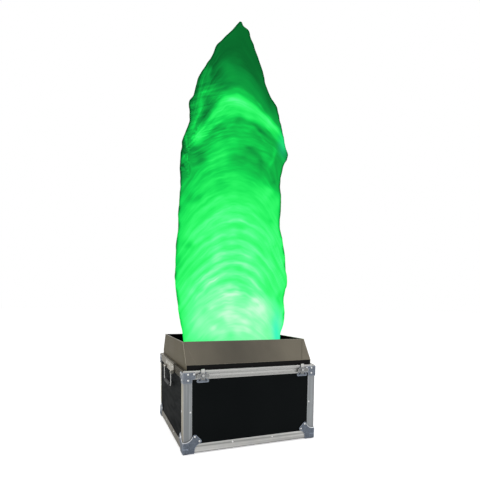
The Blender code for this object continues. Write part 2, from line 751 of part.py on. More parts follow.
def hinge_half():
    """Plate on the rear rim whose curl makes a barrel, with the pin that the lid slides off."""
    top = CASE_H - RIM_CHAMFER
    middle = top - HINGE_PLATE_H / 2
    outline = rounded(rectangle(HINGE_PLATE_W / 2, HINGE_PLATE_H / 2, (0, middle)),
                      [HINGE_PLATE_R, HINGE_PLATE_R, 0, 0])
    plate = prism([(x, HALF_D + GAP, z) for x, z in outline], (0, HINGE_PLATE_T, 0))
    axis_y = HALF_D + LATCH_REACH - HINGE_BARREL_R
    axis_z = top - HINGE_BARREL_R
    left = -HINGE_PLATE_W / 2
    barrel = rod((left, axis_y, axis_z), (left + HINGE_BARREL_LEN, axis_y, axis_z), HINGE_BARREL_R, 20)
    web = box((left, HALF_D + GAP + HINGE_PLATE_T / 2, axis_z - HINGE_WEB_H / 2),
              (left + HINGE_BARREL_LEN, axis_y, axis_z + HINGE_WEB_H / 2))
    end = left + HINGE_BARREL_LEN
    pin = rod((end - HINGE_PIN_R, axis_y, axis_z), (end + HINGE_PIN_LEN, axis_y, axis_z),
              HINGE_PIN_R, 16)
    return join(plate, web, barrel, pin)


def hinges(carrier, zinc):
    shape = hinge_half()
    for side, sign in SIDES:
        copy = mirrored(shape, 1, 1)
        copy.data.transform(Matrix.Translation((sign * HINGE_X, 0, 0)))
        piece(copy, "lid_hinge_" + side, zinc, carrier)
    bpy.data.objects.remove(shape)


# Handles, modelled on the left side

def handle_plate():
    """Plate on the rim with two ears that hold the bail."""
    middle = (HANDLE_TOP + HANDLE_LOW) / 2
    outline = rounded(rectangle(HANDLE_PLATE_W / 2, HANDLE_PLATE_H / 2, (0, middle)), HANDLE_PLATE_R)
    plate = prism([(-HALF_W - GAP, y, z) for y, z in outline], (-HANDLE_PLATE_T, 0, 0))
    inner = BAIL_SPAN / 2 + BAIL_R + GAP
    for _, sign in SIDES:
        low, high = sorted((sign * inner, sign * (inner + EAR_T)))
        ring = [(-HALF_W - BAIL_OUT - EAR_R * math.cos(a), BAIL_PIVOT_Z + EAR_R * math.sin(a))
                for a in arc_angles(-90, 90, 8)]
        ring = ring + [(-HALF_W - GAP - HANDLE_PLATE_T / 2, BAIL_PIVOT_Z + EAR_R),
                       (-HALF_W - GAP - HANDLE_PLATE_T / 2, BAIL_PIVOT_Z - EAR_R)]
        ear = prism([(x, low, z) for x, z in ring], (0, high - low, 0))
        hole = rod((-HALF_W - BAIL_OUT, low - GAP, BAIL_PIVOT_Z),
                   (-HALF_W - BAIL_OUT, high + GAP, BAIL_PIVOT_Z), BAIL_R + RUN, 24)
        plate = join(plate, cut(ear, hole))
    return plate


def bail_route():
    """The bail's middle line: stub, arm, bend, cross bar and back."""
    half = BAIL_SPAN / 2
    corners = [(-half - BAIL_STUB, 0), (-half, 0), (-half, -BAIL_DROP), (half, -BAIL_DROP),
               (half, 0), (half + BAIL_STUB, 0)]
    return rounded(corners, [0, BAIL_R * 1.2, BAIL_BEND, BAIL_BEND, BAIL_R * 1.2, 0], 4)


def bail():
    """Bent steel rod, as a curve with a round bevel."""
    curve = bpy.data.curves.new("bail", "CURVE")
    curve.dimensions = "3D"
    curve.bevel_depth = BAIL_R
    curve.bevel_resolution = 3
    curve.use_fill_caps = True
    route = bail_route()
    line = curve.splines.new("POLY")
    line.points.add(len(route) - 1)
    for point, (y, z) in zip(line.points, route):
        point.co = (-HALF_W - BAIL_OUT, y, BAIL_PIVOT_Z + z, 1)
    holder = bpy.data.objects.new("bail", curve)
    bpy.context.scene.collection.objects.link(holder)
    graph = bpy.context.evaluated_depsgraph_get()
    mesh = bpy.data.meshes.new_from_object(holder.evaluated_get(graph))
    bpy.data.objects.remove(holder)
    bm = bmesh.new()
    bm.from_mesh(mesh)
    bmesh.ops.remove_doubles(bm, verts=bm.verts, dist=GAP / 10)
    return solid(bm)


def turned(profile, start, along, sides):
    """A closed ring turned about an axis. The profile's points are (distance along, radius)."""
    turn = Vector(along).to_track_quat("Z", "Y")
    bm = bmesh.new()
    rings = []
    for run, radius in profile:
        rings.append([bm.verts.new(Vector(start) + turn @ Vector((u, v, run)))
                      for u, v in circle(radius, sides)])
    for i in range(len(rings)):
        ring, after = rings[i], rings[(i + 1) % len(rings)]
        for k in range(sides):
            m = (k + 1) % sides
            bm.faces.new((ring[k], ring[m], after[m], after[k]))
    return solid(bm)


def grip():
    """Rubber sleeve with a bead at each end."""
    bore = BAIL_R + GAP
    half = GRIP_LEN / 2
    bead = half - GRIP_BEAD_W
    edge = GRIP_BEAD_ROUND
    right = [(bead, GRIP_R), (bead + edge, GRIP_BEAD_R), (half - edge, GRIP_BEAD_R),
             (half, GRIP_BEAD_R - edge), (half, bore)]
    profile = [(-run, radius) for run, radius in reversed(right)] + right
    return turned(profile, (-HALF_W - BAIL_OUT, 0, BAIL_PIVOT_Z - BAIL_DROP), (0, 1, 0), 16)


def handles(case, zinc, steel, rubber):
    shapes = ((handle_plate(), "handle_plate_", zinc), (bail(), "handle_bail_", steel),
              (grip(), "handle_grip_", rubber))
    for side, sign in SIDES:
        axis = Vector((sign * (HALF_W + BAIL_OUT), 0, BAIL_PIVOT_Z))
        carrier = group("handle_axis_" + side, axis)
        carrier.parent = case
        for shape, name, finish in shapes:
            piece(mirrored(shape, -sign, 1), name + side, finish, carrier, axis)
    for shape, _, _ in shapes:
        bpy.data.objects.remove(shape)


# Deck and collar

def deck(carrier, black):
    """Floor with a throat over each fan, walls up at front and rear, flanges down at the sides."""
    wide = INNER_W - GAP
    wall_x = COLLAR_X - COLLAR_T - GAP
    floor = box((-wide, -COLLAR_Y, DECK_LOW), (wide, COLLAR_Y, DECK_Z))
    for _, sign in ENDS:
        low, high = sorted((sign * COLLAR_Y, sign * (COLLAR_Y - DECK_T)))
        floor = join(floor, box((-wall_x, low, DECK_LOW), (wall_x, high, SKIRT_TOP)))
    for _, sign in SIDES:
        low, high = sorted((sign * wide, sign * (wide - DECK_T)))
        floor = join(floor, box((low, -COLLAR_Y, DECK_LOW - DECK_FLANGE), (high, COLLAR_Y, DECK_Z)))
        throat = rod((sign * FAN_X, 0, DECK_LOW - GAP), (sign * FAN_X, 0, DECK_Z + GAP), FAN_BORE_R, 40)
        floor = cut(floor, throat)
    piece(floor, "deck", black, carrier)


def lean():
    """The slope of the collar's front wall: unit vectors up along it and out of it."""
    up = Vector((0, COLLAR_LEAN, COLLAR_TOP - SKIRT_TOP - GAP)).normalized()
    return up, Vector((0, -up.z, up.y))


def collar_side():
    """Right side wall, folded over the ends of the front and rear walls."""
    low = DECK_Z + GAP
    foot = SKIRT_TOP + GAP
    up, out = lean()
    start = up * (COLLAR_T * out.z / up.z)  # the folds clear the deck's walls by their thickness
    fold_y = COLLAR_Y - start.y
    fold_z = foot + start.z
    wall = [(-COLLAR_Y, low), (-COLLAR_Y, foot), (-fold_y, fold_z), (-MOUTH_Y, COLLAR_TOP),
            (MOUTH_Y, COLLAR_TOP), (fold_y, fold_z), (COLLAR_Y, foot), (COLLAR_Y, low)]
    bm = bmesh.new()
    ring = [bm.verts.new((COLLAR_X, y, z)) for y, z in wall]
    bm.faces.new(ring)
    for bottom, top in ((ring[2], ring[3]), (ring[5], ring[4])):
        inner_low = bm.verts.new(bottom.co - Vector((COLLAR_FOLD_LOW, 0, 0)))
        inner_high = bm.verts.new(top.co - Vector((COLLAR_FOLD_HIGH, 0, 0)))
        bm.faces.new((bottom, inner_low, inner_high, top))
    bmesh.ops.recalc_face_normals(bm, faces=bm.faces)
    if sum(face.normal.x for face in bm.faces) < 0:
        bmesh.ops.reverse_faces(bm, faces=bm.faces)
    mesh = bpy.data.meshes.new("collar_side")
    bm.to_mesh(mesh)
    bm.free()
    made = bpy.data.objects.new("collar_side", mesh)
    bpy.context.scene.collection.objects.link(made)
    sheet = made.modifiers.new("Sheet", "SOLIDIFY")
    sheet.thickness = COLLAR_T
    sheet.offset = -1
    sheet.solidify_mode = "NON_MANIFOLD"
    sheet.nonmanifold_thickness_mode = "CONSTRAINTS"
    graph = bpy.context.evaluated_depsgraph_get()
    made.data = bpy.data.meshes.new_from_object(made.evaluated_get(graph))
    made.modifiers.clear()
    return made


def collar_front():
    """Leaning wall that stands on the deck's wall, with a lip turned in along its top."""
    up, out = lean()
    foot = Vector((0, -COLLAR_Y, SKIRT_TOP + GAP))
    step = -out * (COLLAR_T + GAP)          # the wall lies behind the side walls' folds
    base = foot + step
    low = base + up * ((foot.z - base.z) / up.z)
    high = base + up * ((COLLAR_TOP - base.z) / up.z)
    back = low - out * COLLAR_T
    inner_low = back + up * ((foot.z - back.z) / up.z)
    under = COLLAR_TOP - COLLAR_T
    inner_high = back + up * ((under - back.z) / up.z)
    outline = [low, high, high + Vector((0, COLLAR_LIP, 0)),
               Vector((0, high.y + COLLAR_LIP, under)), inner_high, inner_low]
    half = COLLAR_X - COLLAR_T - GAP
    return prism([p + Vector((-half, 0, 0)) for p in outline], (2 * half, 0, 0))


def collar(carrier, taupe):
    front = collar_front()
    piece(mirrored(front, 1, -1), "collar_rear", taupe, carrier)
    piece(front, "collar_front", taupe, carrier)
    side = collar_side()
    piece(mirrored(side, -1, 1), "collar_left", taupe, carrier)
    piece(side, "collar_right", taupe, carrier)


# Fans

def fan_frame():
    """Square flange and round duct, with the motor held by four struts below the rotor."""
    half = FAN_SIDE / 2
    outline = rounded(rectangle(half, half), FAN_CORNER_R, 4)
    flange_low = FAN_TOP - FAN_FLANGE_T
    frame = prism([(x, y, flange_low) for x, y in outline], (0, 0, FAN_FLANGE_T))
    duct = rod((0, 0, FAN_LOW), (0, 0, flange_low + GAP), FAN_BORE_R + FAN_RING_T, 40)
    frame = join(frame, duct)
    frame = cut(frame, rod((0, 0, FAN_LOW - GAP), (0, 0, FAN_TOP + GAP), FAN_BORE_R, 40))
    reach = FAN_BORE_R + FAN_RING_T / 2
    struts = []
    for turn in (45, 135):
        bar = box((-reach, -STRUT_W / 2, FAN_LOW), (reach, STRUT_W / 2, FAN_LOW + STRUT_H))
        bar.data.transform(Matrix.Rotation(math.radians(turn), 4, "Z"))
        struts.append(bar)
    motor = rod((0, 0, FAN_LOW), (0, 0, FAN_LOW + MOTOR_H), MOTOR_R, 28)
    shaft = rod((0, 0, FAN_LOW + MOTOR_H / 2), (0, 0, FAN_LOW + MOTOR_H + SHAFT_LEN), SHAFT_R, 20)
    frame = join(frame, join(motor, shaft), *struts)
    inset = half - FAN_HOLE_IN
    holes = [rod((u * inset, v * inset, flange_low - GAP), (u * inset, v * inset, FAN_TOP + GAP),
                 FAN_HOLE_R, 12) for u in (-1, 1) for v in (-1, 1)]
    return cut(frame, joined_shells(holes))


def blade(turn):
    """A twisted, cambered blade whose root lies inside the hub."""
    middle = FAN_LOW + MOTOR_H + HUB_CLEAR + HUB_H / 2
    root = HUB_R - BLADE_SINK
    tip = FAN_BORE_R - BLADE_TIP_CLEAR
    across = (-0.5, -0.18, 0.18, 0.5)
    bm = bmesh.new()
    rings = []
    for i in range(BLADE_STATIONS):
        share = i / (BLADE_STATIONS - 1)
        radius = root + (tip - root) * share
        chord = BLADE_ROOT_CHORD + (BLADE_TIP_CHORD - BLADE_ROOT_CHORD) * share
        pitch = BLADE_ROOT_PITCH + (BLADE_TIP_PITCH - BLADE_ROOT_PITCH) * share
        centre = turn + BLADE_SWEEP * share
        ring = []
        for face in (1, -1):
            for t in across[::face]:
                round_off = 1 - 3.2 * t * t
                rise = BLADE_CAMBER * (1 - 4 * t * t) + face * BLADE_T / 2 * round_off
                run = t * chord * math.cos(pitch) - rise * math.sin(pitch)
                height = t * chord * math.sin(pitch) + rise * math.cos(pitch)
                angle = centre + run / radius
                ring.append(bm.verts.new((radius * math.cos(angle), radius * math.sin(angle),
                                          middle + height)))
        rings.append(ring)
    for ring, after in zip(rings, rings[1:]):
        for k in range(len(ring)):
            m = (k + 1) % len(ring)
            bm.faces.new((ring[k], ring[m], after[m], after[k]))
    bm.faces.new(rings[0])
    bm.faces.new(list(reversed(rings[-1])))
    return solid(bm)


def fan_rotor():
    """Hub with its blades, bored for the motor's shaft."""
    low = FAN_LOW + MOTOR_H + HUB_CLEAR
    hub = rod((0, 0, low), (0, 0, low + HUB_H), HUB_R, HUB_SIDES)
    bm = bmesh.new()
    bm.from_mesh(hub.data)
    bpy.data.objects.remove(hub)
    rim = [e for e in bm.edges if all(v.co.z > low + HUB_H / 2 for v in e.verts)]
    bmesh.ops.bevel(bm, geom=rim, offset=HUB_ROUND, segments=2, profile=0.5, affect="EDGES")
    hub = solid(bm)
    blades = [blade(2 * math.pi * i / BLADES) for i in range(BLADES)]
    hub = join(hub, joined_shells(blades))
    bore = rod((0, 0, low - GAP), (0, 0, FAN_LOW + MOTOR_H + SHAFT_LEN + GAP), SHAFT_R + RUN, 20)
    return cut(hub, bore)


def fans(carrier, cast, polymer):
    frame, rotor = fan_frame(), fan_rotor()
    for side, sign in SIDES:
        place = Vector((sign * FAN_X, 0, 0))
        axis = group("fan_axis_" + side, place + Vector((0, 0, FAN_LOW)))
        axis.parent = carrier
        for shape, name, finish in ((frame, "fan_frame_", cast), (rotor, "fan_rotor_", polymer)):
            copy = mirrored(shape, 1, 1)
            copy.data.transform(Matrix.Translation(place))
            piece(copy, name + side, finish, axis, axis.location)
    bpy.data.objects.remove(frame)
    bpy.data.objects.remove(rotor)


# Lamp bars, modelled in front of the flame

def lamp_slope():
    """The lamp's upper face: its outer and inner edge, its direction and its normal."""
    foot = DECK_Z + GAP
    outer = Vector((0, -LAMP_Y - LAMP_W / 2, foot + LAMP_HIGH))
    inner = Vector((0, -LAMP_Y + LAMP_W / 2, foot + LAMP_LOW))
    along = (inner - outer).normalized()
    return outer, inner, along, Vector((0, -along.z, along.y))


def lamp_housing():
    """Wedge-shaped extrusion with cooling fins on its outer side."""
    foot = DECK_Z + GAP
    outer, inner, _, _ = lamp_slope()
    profile = [Vector((0, inner.y, foot)), inner, outer]
    pitch = LAMP_HIGH / (LAMP_FINS + 1)
    for i in range(LAMP_FINS, 0, -1):
        middle = foot + pitch * i
        for dy, dz in ((0, 1), (LAMP_FIN_DEPTH, 1), (LAMP_FIN_DEPTH, -1), (0, -1)):
            profile.append(Vector((0, outer.y + dy, middle + dz * LAMP_FIN_W / 2)))
    profile.append(Vector((0, outer.y, foot)))
    start = Vector((-LAMP_LEN / 2, 0, 0))
    return prism([p + start for p in profile], (LAMP_LEN, 0, 0))


def lens_strip():
    """Clear strip with a row of domes, one over each emitter."""
    outer, inner, along, out = lamp_slope()
    middle = (outer + inner) / 2 + out * GAP
    half = along * LENS_W / 2
    start = Vector((-LAMP_LEN / 2 + LENS_MARGIN, 0, 0))
    length = LAMP_LEN - 2 * LENS_MARGIN
    strip = prism([middle - half + start, middle + half + start,
                   middle + half + out * LENS_T + start, middle - half + out * LENS_T + start],
                  (length, 0, 0))
    pitch = length / LENSES
    sphere_r = (LENS_R ** 2 + LENS_DOME ** 2) / (2 * LENS_DOME)
    domes = []
    for i in range(LENSES):
        place = middle + start + Vector((pitch * (i + 0.5), 0, 0)) + out * LENS_T
        domes.append(dome(place, out, sphere_r))
    return join(strip, joined_shells(domes))


def dome(place, out, sphere_r):
    """A spherical cap that stands on a face, with its foot sunk into it."""
    turn = out.to_track_quat("Z", "Y")
    sides = LENS_SIDES
    bm = bmesh.new()
    full = math.asin(LENS_R / sphere_r)
    rings = [[bm.verts.new(place + turn @ Vector((u, v, -LENS_T / 2)))
              for u, v in circle(LENS_R, sides)]]
    for step in range(LENS_RINGS):
        lift = full * (1 - step / LENS_RINGS)
        height = sphere_r * math.cos(lift) - sphere_r * math.cos(full)
        rings.append([bm.verts.new(place + turn @ Vector((u, v, height)))
                      for u, v in circle(sphere_r * math.sin(lift), sides)])
    for ring, after in zip(rings, rings[1:]):
        for k in range(sides):
            m = (k + 1) % sides
            bm.faces.new((ring[k], ring[m], after[m], after[k]))
    bm.faces.new(rings[0])
    tip = bm.verts.new(place + out * LENS_DOME)
    for k in range(sides):
        bm.faces.new((rings[-1][k], rings[-1][(k + 1) % sides], tip))
    return solid(bm)


def lamps(carrier, alloy, clear):
    for shape, name, finish in ((lamp_housing(), "lamp_housing_", alloy),
                                (lens_strip(), "lamp_lens_", clear)):
        piece(mirrored(shape, 1, -1), name + "rear", finish, carrier)
        piece(shape, name + "front", finish, carrier)


# Silk and its bar

def silk_bar(carrier, steel):
    """Round bar between two folded brackets that stand on the deck."""
    half = BAR_LEN / 2
    foot = DECK_Z + GAP
    made = rod((-half, 0, BAR_Z), (half, 0, BAR_Z), BAR_R, 16)
    for _, sign in SIDES:
        low, high = sorted((sign * half, sign * (half - BRACKET_T)))
        upright = box((low, -BRACKET_D / 2, foot), (high, BRACKET_D / 2, BAR_Z + BAR_R + BRACKET_CAP))
        low, high = sorted((sign * half, sign * (half - BRACKET_FOOT)))
        base = box((low, -BRACKET_D / 2, foot), (high, BRACKET_D / 2, foot + BRACKET_T))
        made = join(made, join(upright, base))
    piece(made, "silk_bar", steel, carrier)


def edge_at(edge, share):
    """The share of its reach that an edge of the flame has at a share of the height."""
    for i in range(len(edge) - 1):
        if share <= edge[i + 1][0]:
            break
    low, a = edge[i]
    high, b = edge[i + 1]
    before_at, before = edge[max(i - 1, 0)]
    after_at, after = edge[min(i + 2, len(edge) - 1)]
    step = high - low
    t = (share - low) / step
    rise_a = (b - before) / (high - before_at) * step
    rise_b = (after - a) / (after_at - low) * step
    return ((2 * t ** 3 - 3 * t ** 2 + 1) * a + (t ** 3 - 2 * t ** 2 + t) * rise_a
            + (3 * t ** 2 - 2 * t ** 3) * b + (t ** 3 - t ** 2) * rise_b)


def silk_depth(x, up):
    """How far the blown silk stands out of its plane: bowed ripples on a slow billow."""
    calm = 1 - math.exp(-((up / SILK_STILL) ** 2))
    bowed = up + x * x / (2 * SILK_BOW_R) + math.tan(math.radians(SILK_SLANT_DEG)) * x
    ripple = SILK_RIPPLE * math.sin(2 * math.pi * bowed / SILK_RIPPLE_PITCH)
    billow = SILK_BILLOW * math.sin(2 * math.pi * SILK_BILLOWS * up / SILK_H)
    return calm * (ripple + billow)


def silk_flame():
    """One thin closed sheet with its main folds."""
    bm = bmesh.new()
    faces = []
    for face in (-1, 1):
        grid = []
        for i in range(SILK_ROWS + 1):
            share = i / SILK_ROWS
            left = -SILK_LEFT * edge_at(SILK_LEFT_EDGE, share)
            right = SILK_RIGHT * edge_at(SILK_RIGHT_EDGE, share)
            row = []
            for k in range(SILK_COLUMNS + 1):
                x = left + (right - left) * k / SILK_COLUMNS
                up = share * SILK_H
                y = silk_depth(x, up) + face * SILK_T / 2
                row.append(bm.verts.new((x, y, SILK_LOW + up)))
            grid.append(row)
        faces.append(grid)
    near, far = faces
    for grid, forward in ((near, True), (far, False)):
        for row, after in zip(grid, grid[1:]):
            for k in range(SILK_COLUMNS):
                quad = (row[k], row[k + 1], after[k + 1], after[k])
                bm.faces.new(quad if forward else quad[::-1])
    rim = [[grid[0][k] for k in range(SILK_COLUMNS + 1)]
           + [grid[i][-1] for i in range(1, SILK_ROWS + 1)]
           + [grid[-1][k] for k in range(SILK_COLUMNS - 1, -1, -1)]
           + [grid[i][0] for i in range(SILK_ROWS - 1, 0, -1)] for grid in faces]
    for k in range(len(rim[0])):
        m = (k + 1) % len(rim[0])
        bm.faces.new((rim[0][k], rim[1][k], rim[1][m], rim[0][m]))
    return solid(bm)


# Electrical fittings

def mains_inlet(carrier, plastic):
    """Three-blade inlet: flange outside the rear panel, body through it, blades in its well."""
    face = REAR_FACE + GAP + INLET_FLANGE_T
    middle = (INLET_X, FITTING_Z)
    flange = rounded(rectangle(INLET_FLANGE_W / 2, INLET_FLANGE_H / 2, middle), INLET_FLANGE_R)
    made = prism([(x, REAR_FACE + GAP, z) for x, z in flange], (0, INLET_FLANGE_T, 0))
    body = rectangle(INLET_BODY_W / 2, INLET_BODY_H / 2, middle)
    made = join(made, prism([(x, face - INLET_BODY_DEPTH, z) for x, z in body],
                            (0, INLET_BODY_DEPTH - INLET_FLANGE_T / 2, 0)))
    well = rounded(rectangle(INLET_CAVITY_W / 2, INLET_CAVITY_H / 2, middle),
                   [0, 0, INLET_CAVITY_CHAMFER, INLET_CAVITY_CHAMFER], 1)
    floor = face - INLET_CAVITY_DEPTH
    made = cut(made, prism([(x, floor, z) for x, z in well], (0, INLET_CAVITY_DEPTH + GAP, 0)))
    for x, z in ((-INLET_BLADE_X, -INLET_BLADE_Z), (INLET_BLADE_X, -INLET_BLADE_Z), (0, INLET_BLADE_Z)):
        stem = rectangle(INLET_BLADE_W / 2, INLET_BLADE_H / 2, (INLET_X + x, FITTING_Z + z))
        made = join(made, prism([(u, floor - GAP, w) for u, w in stem], (0, INLET_BLADE_LEN + GAP, 0)))
    piece(made, "mains_inlet", plastic, carrier)


def power_switch(carrier, plastic):
    """Rocker switch: a frame through the rear panel and the rocker that tips in it."""
    middle = (SWITCH_X, FITTING_Z)
    flange = rectangle(SWITCH_W / 2 + SWITCH_LIP, SWITCH_H / 2 + SWITCH_LIP, middle)
    made = prism([(x, REAR_FACE + GAP, z) for x, z in rounded(flange, SWITCH_CORNER_R)],
                 (0, SWITCH_FLANGE_T, 0))
    face = REAR_FACE + GAP + SWITCH_FLANGE_T
    body = rectangle(SWITCH_W / 2, SWITCH_H / 2, middle)
    made = join(made, prism([(x, face - SWITCH_DEPTH, z) for x, z in body],
                            (0, SWITCH_DEPTH - SWITCH_FLANGE_T / 2, 0)))
    well = rectangle(SWITCH_W / 2 - SWITCH_WALL, SWITCH_H / 2 - SWITCH_WALL, middle)
    made = cut(made, prism([(x, face - SWITCH_WELL, z) for x, z in well], (0, SWITCH_WELL + GAP, 0)))
    piece(made, "switch_frame", plastic, carrier)

    axis = Vector((SWITCH_X, face - ROCKER_PIVOT_IN, FITTING_Z))
    half_w = SWITCH_W / 2 - SWITCH_WALL - GAP
    half_h = SWITCH_H / 2 - SWITCH_WALL - ROCKER_CLEAR
    peak = ROCKER_PEAK + ROCKER_PIVOT_IN
    valley = ROCKER_VALLEY + ROCKER_PIVOT_IN
    profile = [(peak, -half_h), (valley, 0), (peak, half_h), (-ROCKER_DEPTH, half_h - ROCKER_TAPER),
               (-ROCKER_DEPTH, ROCKER_TAPER - half_h)]
    rocker = prism([(-half_w, y, z) for y, z in profile], (2 * half_w, 0, 0))
    rocker.data.transform(Matrix.Rotation(-ROCKER_SWING, 4, "X"))
    rocker.data.transform(Matrix.Translation(axis))
    pivot = group("switch_axis", axis)
    pivot.parent = carrier
    piece(rocker, "switch_rocker", plastic, pivot, axis)


def power_supply(carrier, alloy):
    """Closed supply with a fixing ear at each end, screwed to the base panel."""
    foot = BASE_TOP + GAP
    half_l = SUPPLY_L / 2
    half_w = SUPPLY_W / 2
    profile = rounded(rectangle(half_w, SUPPLY_H / 2, (SUPPLY_Y, foot + SUPPLY_H / 2)),
                      [0, 0, SUPPLY_R, SUPPLY_R])
    made = prism([(SUPPLY_X - half_l, y, z) for y, z in profile], (SUPPLY_L, 0, 0))
    ears = box((SUPPLY_X - half_l - SUPPLY_EAR, SUPPLY_Y - half_w / 2, foot),
               (SUPPLY_X + half_l + SUPPLY_EAR, SUPPLY_Y + half_w / 2, foot + SUPPLY_EAR_T))
    piece(join(made, ears), "power_supply", alloy, carrier)


def build():
    clear_scene()
    laminate = material("black_laminate", (0.010, 0.012, 0.013), 0.45)
    alloy = material("anodised_aluminium", (0.42, 0.42, 0.42), 0.42, 1.0)
    zinc = material("zinc_plated_steel", (0.36, 0.38, 0.45), 0.38, 1.0)
    steel = material("bright_steel", (0.62, 0.62, 0.62), 0.25, 1.0)
    rubber = material("black_rubber", (0.015, 0.015, 0.015), 0.7)
    black = material("black_painted_steel", (0.006, 0.006, 0.006), 0.5)
    taupe = material("taupe_painted_steel", (0.17, 0.15, 0.13), 0.45)
    cast = material("cast_aluminium", (0.05, 0.05, 0.05), 0.6, 0.5)
    polymer = material("fan_polymer", (0.02, 0.02, 0.02), 0.5)
    plastic = material("moulded_plastic", (0.015, 0.015, 0.015), 0.4)
    clear = material("clear_lens", (0.8, 0.9, 0.85), 0.1)
    silk = material("lit_silk", (0.03, 0.85, 0.15), 0.6, 0.0, 1.0)

    case = group("case", (0, 0, 0))
    panels(case, laminate)
    extrusions(case, alloy)
    corner_hardware(case, zinc)
    latches(case, zinc, steel)
    hinges(case, zinc)
    handles(case, zinc, steel, rubber)

    works = group("works", (0, 0, 0))
    deck(works, black)
    collar(works, taupe)
    fans(works, cast, polymer)
    lamps(works, alloy, clear)
    silk_bar(works, steel)
    piece(silk_flame(), "silk_flame", silk, works)
    mains_inlet(works, plastic)
    power_switch(works, plastic)
    power_supply(works, alloy)


build()
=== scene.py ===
"""Dresses the flame effect light for its picture: materials, silk, small hardware, camera and studio."""
import math

import bmesh
import bpy
import numpy as np
from mathutils import Matrix, Vector


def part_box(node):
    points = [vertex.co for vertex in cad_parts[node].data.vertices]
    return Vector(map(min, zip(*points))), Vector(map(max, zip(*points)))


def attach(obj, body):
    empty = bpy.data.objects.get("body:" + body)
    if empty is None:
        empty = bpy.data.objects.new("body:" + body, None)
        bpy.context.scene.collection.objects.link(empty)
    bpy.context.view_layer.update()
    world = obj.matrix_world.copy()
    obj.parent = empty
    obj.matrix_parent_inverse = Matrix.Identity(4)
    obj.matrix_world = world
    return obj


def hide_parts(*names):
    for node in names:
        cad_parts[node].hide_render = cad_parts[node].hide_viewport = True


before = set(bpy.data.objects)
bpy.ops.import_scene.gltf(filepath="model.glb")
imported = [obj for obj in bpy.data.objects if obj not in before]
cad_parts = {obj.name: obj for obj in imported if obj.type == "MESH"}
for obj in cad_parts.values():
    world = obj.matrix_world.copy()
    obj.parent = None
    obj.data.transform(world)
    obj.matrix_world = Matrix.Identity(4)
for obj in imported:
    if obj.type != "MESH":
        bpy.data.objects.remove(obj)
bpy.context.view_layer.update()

# Camera: its place, heading and lens come from the case's corners in the photograph
CAMERA_AT = (-0.49844, -1.41234, 0.50095)
CAMERA_YAW = math.radians(20.877)       # towards +X from +Y
CAMERA_PITCH = math.radians(-3.914)     # upwards
CAMERA_ROLL = math.radians(0.663)
CAMERA_LENS = 27.370
CAMERA_SHIFT_Y = 0.1875

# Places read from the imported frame
RIM_LOW, RIM_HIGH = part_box("rim_front")
HALF_W = RIM_HIGH.x
HALF_D = -RIM_LOW.y
RIM_TOP = RIM_HIGH.z
EDGE_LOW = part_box("base_edge_front")[0].z
DECK_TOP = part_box("lamp_housing_front")[0].z
SILK_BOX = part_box("silk_flame")
BRACE_FACE = -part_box("corner_brace_front_left")[0].y - HALF_D

SIDES = (("left", -1), ("right", 1))

# Painted light and shade in flat bands across the extrusions, darker along their grooves, lighter on flat
# bands: axis, start, end, and tone by the share of the way
EXTRUSION_W = 0.030
RIM_BAND_SHADING = (
    "Z", RIM_TOP - EXTRUSION_W, RIM_TOP,
    ((0.0, 0.95), (0.12, 1.0), (0.18, 0.74), (0.26, 0.92), (0.44, 0.95), (0.58, 0.9), (0.66, 0.7),
     (0.74, 0.86), (0.84, 1.0)))
EDGE_BAND_SHADING = (
    "Z", EDGE_LOW, EDGE_LOW + EXTRUSION_W,
    ((0.0, 0.52), (0.1, 0.6), (0.16, 0.98), (0.44, 0.96), (0.52, 0.88), (0.6, 0.94), (0.72, 0.66),
     (0.82, 0.84), (0.92, 0.96), (1.0, 0.8)))
POST_BAND_SHADING = (
    "X", HALF_W - EXTRUSION_W, HALF_W,
    ((0.0, 1.0), (0.14, 0.98), (0.2, 0.8), (0.3, 0.9), (0.8, 0.92), (0.88, 0.76), (1.0, 1.0)))
# Painted shade on the side rims in front of their handles, darkest next to them
SIDE_RIM_SHADE = (
    "Y", -HALF_D, HALF_D,
    ((0.0, 0.62), (0.15, 0.5), (0.28, 0.48), (0.33, 0.28), (0.36, 1.0)))
# Painted light and shade along the collar's front, from left to right: lighter at its ends, darker in the
# middle
COLLAR_SHADING = (
    (0.0, 0.62), (0.08, 0.58), (0.15, 0.52), (0.25, 0.47), (0.38, 0.43), (0.5, 0.43), (0.6, 0.48),
    (0.7, 0.58), (0.8, 0.66), (0.92, 0.73), (1.0, 0.76))
COLLAR_PEAK = 2.1               # what these tones are multiplied by


# Node helpers

def give(tree, node, inputs):
    """Gives each named input of a node a number, a colour or another node's socket."""
    for name, value in inputs.items():
        if isinstance(value, bpy.types.NodeSocket):
            tree.links.new(value, node.inputs[name])
        else:
            node.inputs[name].default_value = value


def add(tree, kind, inputs=None, **settings):
    """A new shader node."""
    made = tree.nodes.new("ShaderNode" + kind)
    for name, value in settings.items():
        setattr(made, name, value)
    give(tree, made, inputs or {})
    return made


def maths(tree, kind, *values):
    """The outcome of a maths node."""
    return add(tree, "Math", dict(enumerate(values)), operation=kind).outputs["Value"]


def material(name, colour, roughness, metallic=0.0):
    """A new material, its node tree and its Principled shader."""
    made = bpy.data.materials.new(name)
    made.use_nodes = True
    shader = made.node_tree.nodes["Principled BSDF"]
    give(made.node_tree, shader,
         {"Base Color": (*colour, 1.0), "Roughness": roughness, "Metallic": metallic})
    return made, made.node_tree, shader


def noise(tree, scale, stretch=(1, 1, 1), detail=3.0, distortion=0.0):
    """Noise in the object's own metres, stretched along an axis where its share is small."""
    place = add(tree, "TexCoord").outputs["Object"]
    spread = add(tree, "Mapping", {"Vector": place, "Scale": stretch})
    made = add(tree, "TexNoise", {"Vector": spread.outputs["Vector"], "Scale": scale, "Detail": detail,
                                  "Roughness": 0.6, "Distortion": distortion})
    return made.outputs["Fac"]


